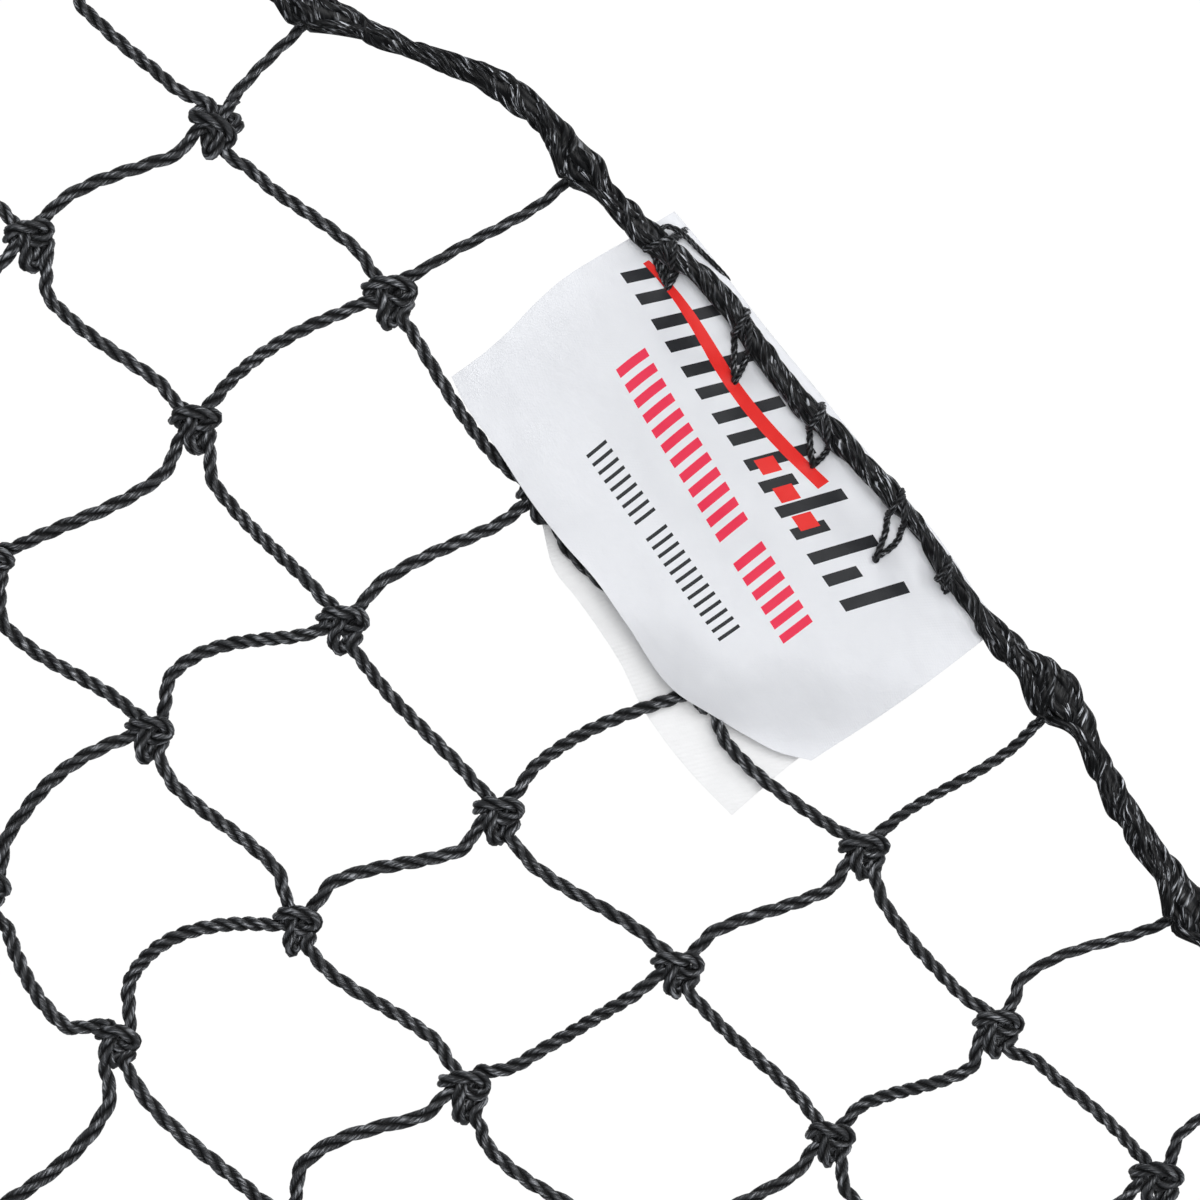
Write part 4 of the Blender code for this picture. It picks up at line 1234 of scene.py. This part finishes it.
def make_weave_group():
    """A fine plain weave: threads both ways and a slanting rib, as a height."""
    group, nodes, links = start_group("satin_weave", ("Along", "Across", "Rib"), ("Height",))
    given = nodes.new("NodeGroupInput")
    result = nodes.new("NodeGroupOutput")
    along, across = given.outputs["Along"], given.outputs["Across"]
    warp = math_node(nodes, links, "SINE",
                     math_node(nodes, links, "MULTIPLY", along, WARP_TURN))
    weft = math_node(nodes, links, "SINE",
                     math_node(nodes, links, "MULTIPLY", across, WEFT_TURN))
    rib = math_node(nodes, links, "MULTIPLY", along, RIB_TURN_ALONG)
    rib = math_node(nodes, links, "MULTIPLY_ADD", across, RIB_TURN_ACROSS, rib)
    rib = math_node(nodes, links, "SINE", rib)
    rib = math_node(nodes, links, "MULTIPLY", rib, given.outputs["Rib"])
    cloth = math_node(nodes, links, "MULTIPLY", warp, weft)
    links.new(math_node(nodes, links, "ADD", cloth, rib), result.inputs["Height"])
    return group


satin_weave = make_weave_group()
BLACK_INK, RED_INK, PINK_INK = (0.013, 0.014, 0.017), (0.86, 0.02, 0.016), (0.88, 0.02, 0.07)
# Rows of printed bars, in millimetres of tape: the ink, how much the row climbs along the
# tape, its edges at the tape's left end, how much its bars lean, where its first bar starts,
# the step from bar to bar, how much of a step is inked, and the stretches that it fills.
BAR_ROWS = (
    (BLACK_INK, 0.094, (3.9, 14.3), 0.33, 0.0, 8.7, 0.23, ((8.6, 72.0),)),
    (BLACK_INK, 0.094, (8.9, 14.3), 0.33, 4.1, 8.7, 0.23, ((8.6, 72.0),)),
    (RED_INK, 0.094, (9.9, 12.9), 0.33, 44.0, 5.2, 0.52, ((44.0, 58.0),)),
    (PINK_INK, 0.138, (16.7, 22.5), 0.0, 0.0, 2.65, 0.55, ((15.9, 46.6), (50.3, 65.0))),
    (BLACK_INK, 0.063, (31.3, 35.3), 0.0, 0.0, 1.62, 0.36, ((22.6, 37.0), (38.8, 59.1))))
# The red stripe: its stretch, its middle, how it waves, and how its half width grows.
STRIPE_STRETCH = (4.5, 49.0)
STRIPE_MIDDLE = 10.95
WAVE_TURN, WAVE_HEIGHT = 0.14, 0.9
STRIPE_START, STRIPE_GROWTH, STRIPE_MOST = 0.4, 0.028, 1.05


def print_tape(nodes, links, u, v, shown):
    """The cloth's colour with the bars and the stripe printed on it."""
    def between(value, low, high):
        above = math_node(nodes, links, "GREATER_THAN", value, low)
        return math_node(nodes, links, "MULTIPLY", above,
                         math_node(nodes, links, "LESS_THAN", value, high))

    for ink, climb, edges, lean, start, step, share, stretches in BAR_ROWS:
        level = math_node(nodes, links, "MULTIPLY_ADD", u, -climb, v)
        slant = math_node(nodes, links, "MULTIPLY_ADD", level, lean, u)
        from_first = math_node(nodes, links, "SUBTRACT", slant, start)
        in_step = math_node(nodes, links, "FRACT",
                            math_node(nodes, links, "DIVIDE", from_first, step))
        bars = math_node(nodes, links, "MULTIPLY", between(level, *edges),
                         math_node(nodes, links, "LESS_THAN", in_step, share))
        filled = between(slant, *stretches[0])
        for stretch in stretches[1:]:
            filled = math_node(nodes, links, "ADD", filled, between(slant, *stretch))
        bars = math_node(nodes, links, "MULTIPLY", bars, filled)
        shown = mix_colours(nodes, links, bars, shown, ink)
    wave = math_node(nodes, links, "SINE", math_node(nodes, links, "MULTIPLY", u, WAVE_TURN))
    wave = math_node(nodes, links, "MULTIPLY_ADD", wave, WAVE_HEIGHT, v)
    off_stripe = math_node(nodes, links, "ABSOLUTE",
                           math_node(nodes, links, "SUBTRACT", wave, STRIPE_MIDDLE))
    half_width = math_node(nodes, links, "MULTIPLY_ADD", u, STRIPE_GROWTH, STRIPE_START)
    half_width = math_node(nodes, links, "MINIMUM", half_width, STRIPE_MOST)
    stripe = math_node(nodes, links, "LESS_THAN", off_stripe, half_width)
    stripe = math_node(nodes, links, "MULTIPLY", stripe, between(u, *STRIPE_STRETCH))
    return mix_colours(nodes, links, stripe, shown, RED_INK)


def make_tape_material(name, colour, rib, printed):
    """White satin tape with a fine weave, faint stains and broad crumples."""
    material, nodes, links, shader, uv, split = start_material(name, "tape_millimetres", {
        "Roughness": 0.5, "Specular IOR Level": 0.22, "Sheen Weight": 0.02,
        "Subsurface Weight": 0.45, "Subsurface Radius": (1.0, 1.0, 1.0),
        "Subsurface Scale": 0.0012})
    u, v = split["X"], split["Y"]
    stain = add_node(nodes, "TexNoise", {"Scale": 0.09, "Detail": 3.0})
    links.new(uv, stain.inputs["Vector"])
    stained = tuple(value * 0.95 for value in colour)
    shown = mix_colours(nodes, links, stain.outputs["Fac"], stained, colour)
    if printed:
        shown = print_tape(nodes, links, u, v, shown)
    links.new(shown, shader.inputs["Base Color"])
    weave = nodes.new("ShaderNodeGroup")
    weave.node_tree = satin_weave
    weave.inputs["Rib"].default_value = rib
    links.new(u, weave.inputs["Along"])
    links.new(v, weave.inputs["Across"])
    crumple = add_node(nodes, "TexNoise", {"Scale": 0.11, "Detail": 2.0, "Roughness": 0.4})
    links.new(uv, crumple.inputs["Vector"])
    broad = add_node(nodes, "Bump", {"Strength": 1.0, "Distance": 0.001})
    links.new(crumple.outputs["Fac"], broad.inputs["Height"])
    bump = add_node(nodes, "Bump", {"Strength": 0.35, "Distance": 0.00003})
    links.new(weave.outputs["Height"], bump.inputs["Height"])
    links.new(broad.outputs["Normal"], bump.inputs["Normal"])
    links.new(bump.outputs["Normal"], shader.inputs["Normal"])
    return material


printed_satin = make_tape_material("printed_satin", (0.83, 0.845, 0.89), 0.0, True)
# The back flap's tape is painted lighter than the front's: painted light against the shade the
# front flap casts on it.
plain_satin = make_tape_material("plain_satin", (0.92, 0.92, 0.925), 1.8, False)
# For each flap the CAD fold and flap are hidden, and two points a short way on both sides of its
# crease are placed, though nothing uses them.
CREASE_DEPTH, CREASE_REACH = 9.0, 0.8
front = tape("label_front", FRONT_FREE_EDGE, FRONT_LEFT, FRONT_RIGHT, front_relief, 1)
front.data.materials.append(printed_satin)
back_layer = tape("label_back", BACK_FREE_EDGE, BACK_LEFT, BACK_RIGHT, back_relief, -1)
back_layer.data.materials.append(plain_satin)
for layer, body, flap, slot, height in (
        (front, "label_front", "label_front_flap", "printed_tape", FOLD_RADIUS),
        (back_layer, "label_back", "label_back_flap", "white_tape", -FOLD_RADIUS)):
    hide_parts("label_fold", flap)
    start = on_top(LABEL_MIDDLE, CREASE_DEPTH - CREASE_REACH, height)
    end = on_top(LABEL_MIDDLE, CREASE_DEPTH + CREASE_REACH, height)
    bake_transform(layer)


# Label stitches.  A thin doubled twine comes up through the tape, runs in a V over the
# mouth rope, round the fold and back under, five times along the label.  At the first
# stitch two loose strands arc over the fold, and an end lies along the rope.
stitch_material = make_cord_material("black_stitch_twine", 0.3, 800.0, 12.0, 0.00016, even=0.06,
                                     sharp=1.5, slant=250.0)
# Each stitch's two legs, from its slot to the rope: across the net, depth behind the mouth.
STITCH_LEGS = (
    (((41.2, 2.3), (43.4, 1.7), (45.6, 0.9), (47.6, 0.2)),
     ((40.9, 2.0), (41.5, 0.2), (42.4, -0.8))),
    (((23.0, 4.0), (24.7, 2.8), (26.5, 1.0), (28.2, -0.4)),
     ((22.8, 3.8), (23.5, 1.9), (24.5, 0.0))),
    (((4.6, 3.8), (6.0, 3.0), (7.6, 1.8), (9.3, 0.4)),
     ((4.5, 3.2), (4.6, 1.6), (5.0, 0.2))),
    (((-13.2, 6.2), (-12.1, 4.3), (-10.9, 2.2), (-9.2, 0.3)),
     ((-13.1, 5.4), (-13.4, 3.4), (-13.1, 1.4), (-12.4, 0.4))),
    (((-24.3, 1.4), (-23.2, 1.0), (-22.0, 0.5)), ((-24.3, 1.2), (-24.0, 0.4))))
# Where each stitch passes round the fold, across the net.
STITCH_WRAPS = (45.6, 29.6, 10.4, -7.6, -20.6)
# The loose strands and the end: across the net, depth behind the mouth, height.
LOOSE_STRAND = ((45.8, -0.6, 4.6), (47.6, -1.8, 6.4), (48.2, -3.3, 6.4), (46.9, -4.5, 5.4),
                (44.7, -5.1, 4.2), (42.3, -5.3, 3.5), (40.2, -5.5, 2.8), (38.2, -5.7, 2.1),
                (36.4, -5.8, 1.3), (35.4, -5.8, 0.2), (35.2, -5.6, -1.4), (35.5, -3.4, -3.7))
LOOSE_END = ((41.0, 2.0, 3.4), (42.0, 1.5, 3.8), (43.8, 0.6, 4.2), (45.8, 0.0, 4.8),
             (47.6, -0.5, 5.4), (49.4, -1.2, 5.6), (51.0, -1.6, 5.4))
STITCH_RADIUS = 0.0006
STITCH_LAY = 0.0036
STITCH_STEP = 0.0004
UNDER_TAPE = -3.8
stitch_ring = strand_ring(12, STRAND_SPREAD)


def stitch_leg(leg, leg_number, wrap):
    """One leg of a stitch: from its slot over the rope, round the fold and under it."""
    route = [(*place, 3.6 + 1.4 * share)
             for place, share in zip(leg, np.linspace(0.0, 1.0, len(leg)))]
    start_x = leg[-1][0]
    for degrees in (30, 65, 100, 135, 165):
        angle, share = math.radians(degrees), degrees / 165
        x = start_x + (wrap - start_x) * share ** 1.3 * (0.85 + 0.15 * leg_number)
        depth, height = rope_middle(x)
        reach = smooth_through(ROPE_WIDTHS, x) / 2 + 0.1 - 0.3 * leg_number - 0.45 * share ** 2
        route.append((x, depth + reach * math.cos(angle), height + reach * math.sin(angle)))
    x = wrap + 0.3 * leg_number
    outside = smooth_through(FOLD_EDGE, x)
    route += [(x, outside + 1.2, 2.6), (x, outside + 0.5, 0.0), (x, outside + 2.6, -3.7)]
    return [on_top(*place) for place in route]


def loose_ends():
    """Two thinning strands side by side over the fold, and the end along the rope."""
    cords = []
    for shift in (0.0, 0.8):
        strand = [on_top(x + 0.2 * shift, depth - 0.1 + 0.5 * shift, height + 0.2 * shift)
                  for x, depth, height in LOOSE_STRAND]
        line = even_line(np.array(strand), STITCH_STEP)
        radii = np.linspace(0.00045, 0.00012, len(line))
        cords.append(sweep(line, radii, stitch_ring, lay=STITCH_LAY, start=shift))
    line = even_line(np.array([on_top(*place) for place in LOOSE_END]), STITCH_STEP)
    return cords + [sweep(line, STITCH_RADIUS, stitch_ring, lay=STITCH_LAY)]


for number, (legs, wrap) in enumerate(zip(STITCH_LEGS, STITCH_WRAPS), start=1):
    slot_x, slot_depth = legs[0][0]
    line = [on_top(slot_x, slot_depth, UNDER_TAPE), on_top(slot_x, slot_depth, 1.5)]
    line += stitch_leg(legs[0], 0, wrap) + stitch_leg(legs[1], 1, wrap)[::-1]
    line.append(on_top(slot_x, slot_depth - 0.4, UNDER_TAPE))
    cords = [sweep(even_line(np.array(line), STITCH_STEP), STITCH_RADIUS, stitch_ring,
                   lay=STITCH_LAY, start=number)]
    if number == 1:
        cords += loose_ends()
    piece = make_piece(f"label_stitch_{number}_twine", cords, stitch_material)
    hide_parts(f"label_stitch_{number}")
    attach(piece, "net")


# The box round all that is shown but the floor.
low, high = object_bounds()
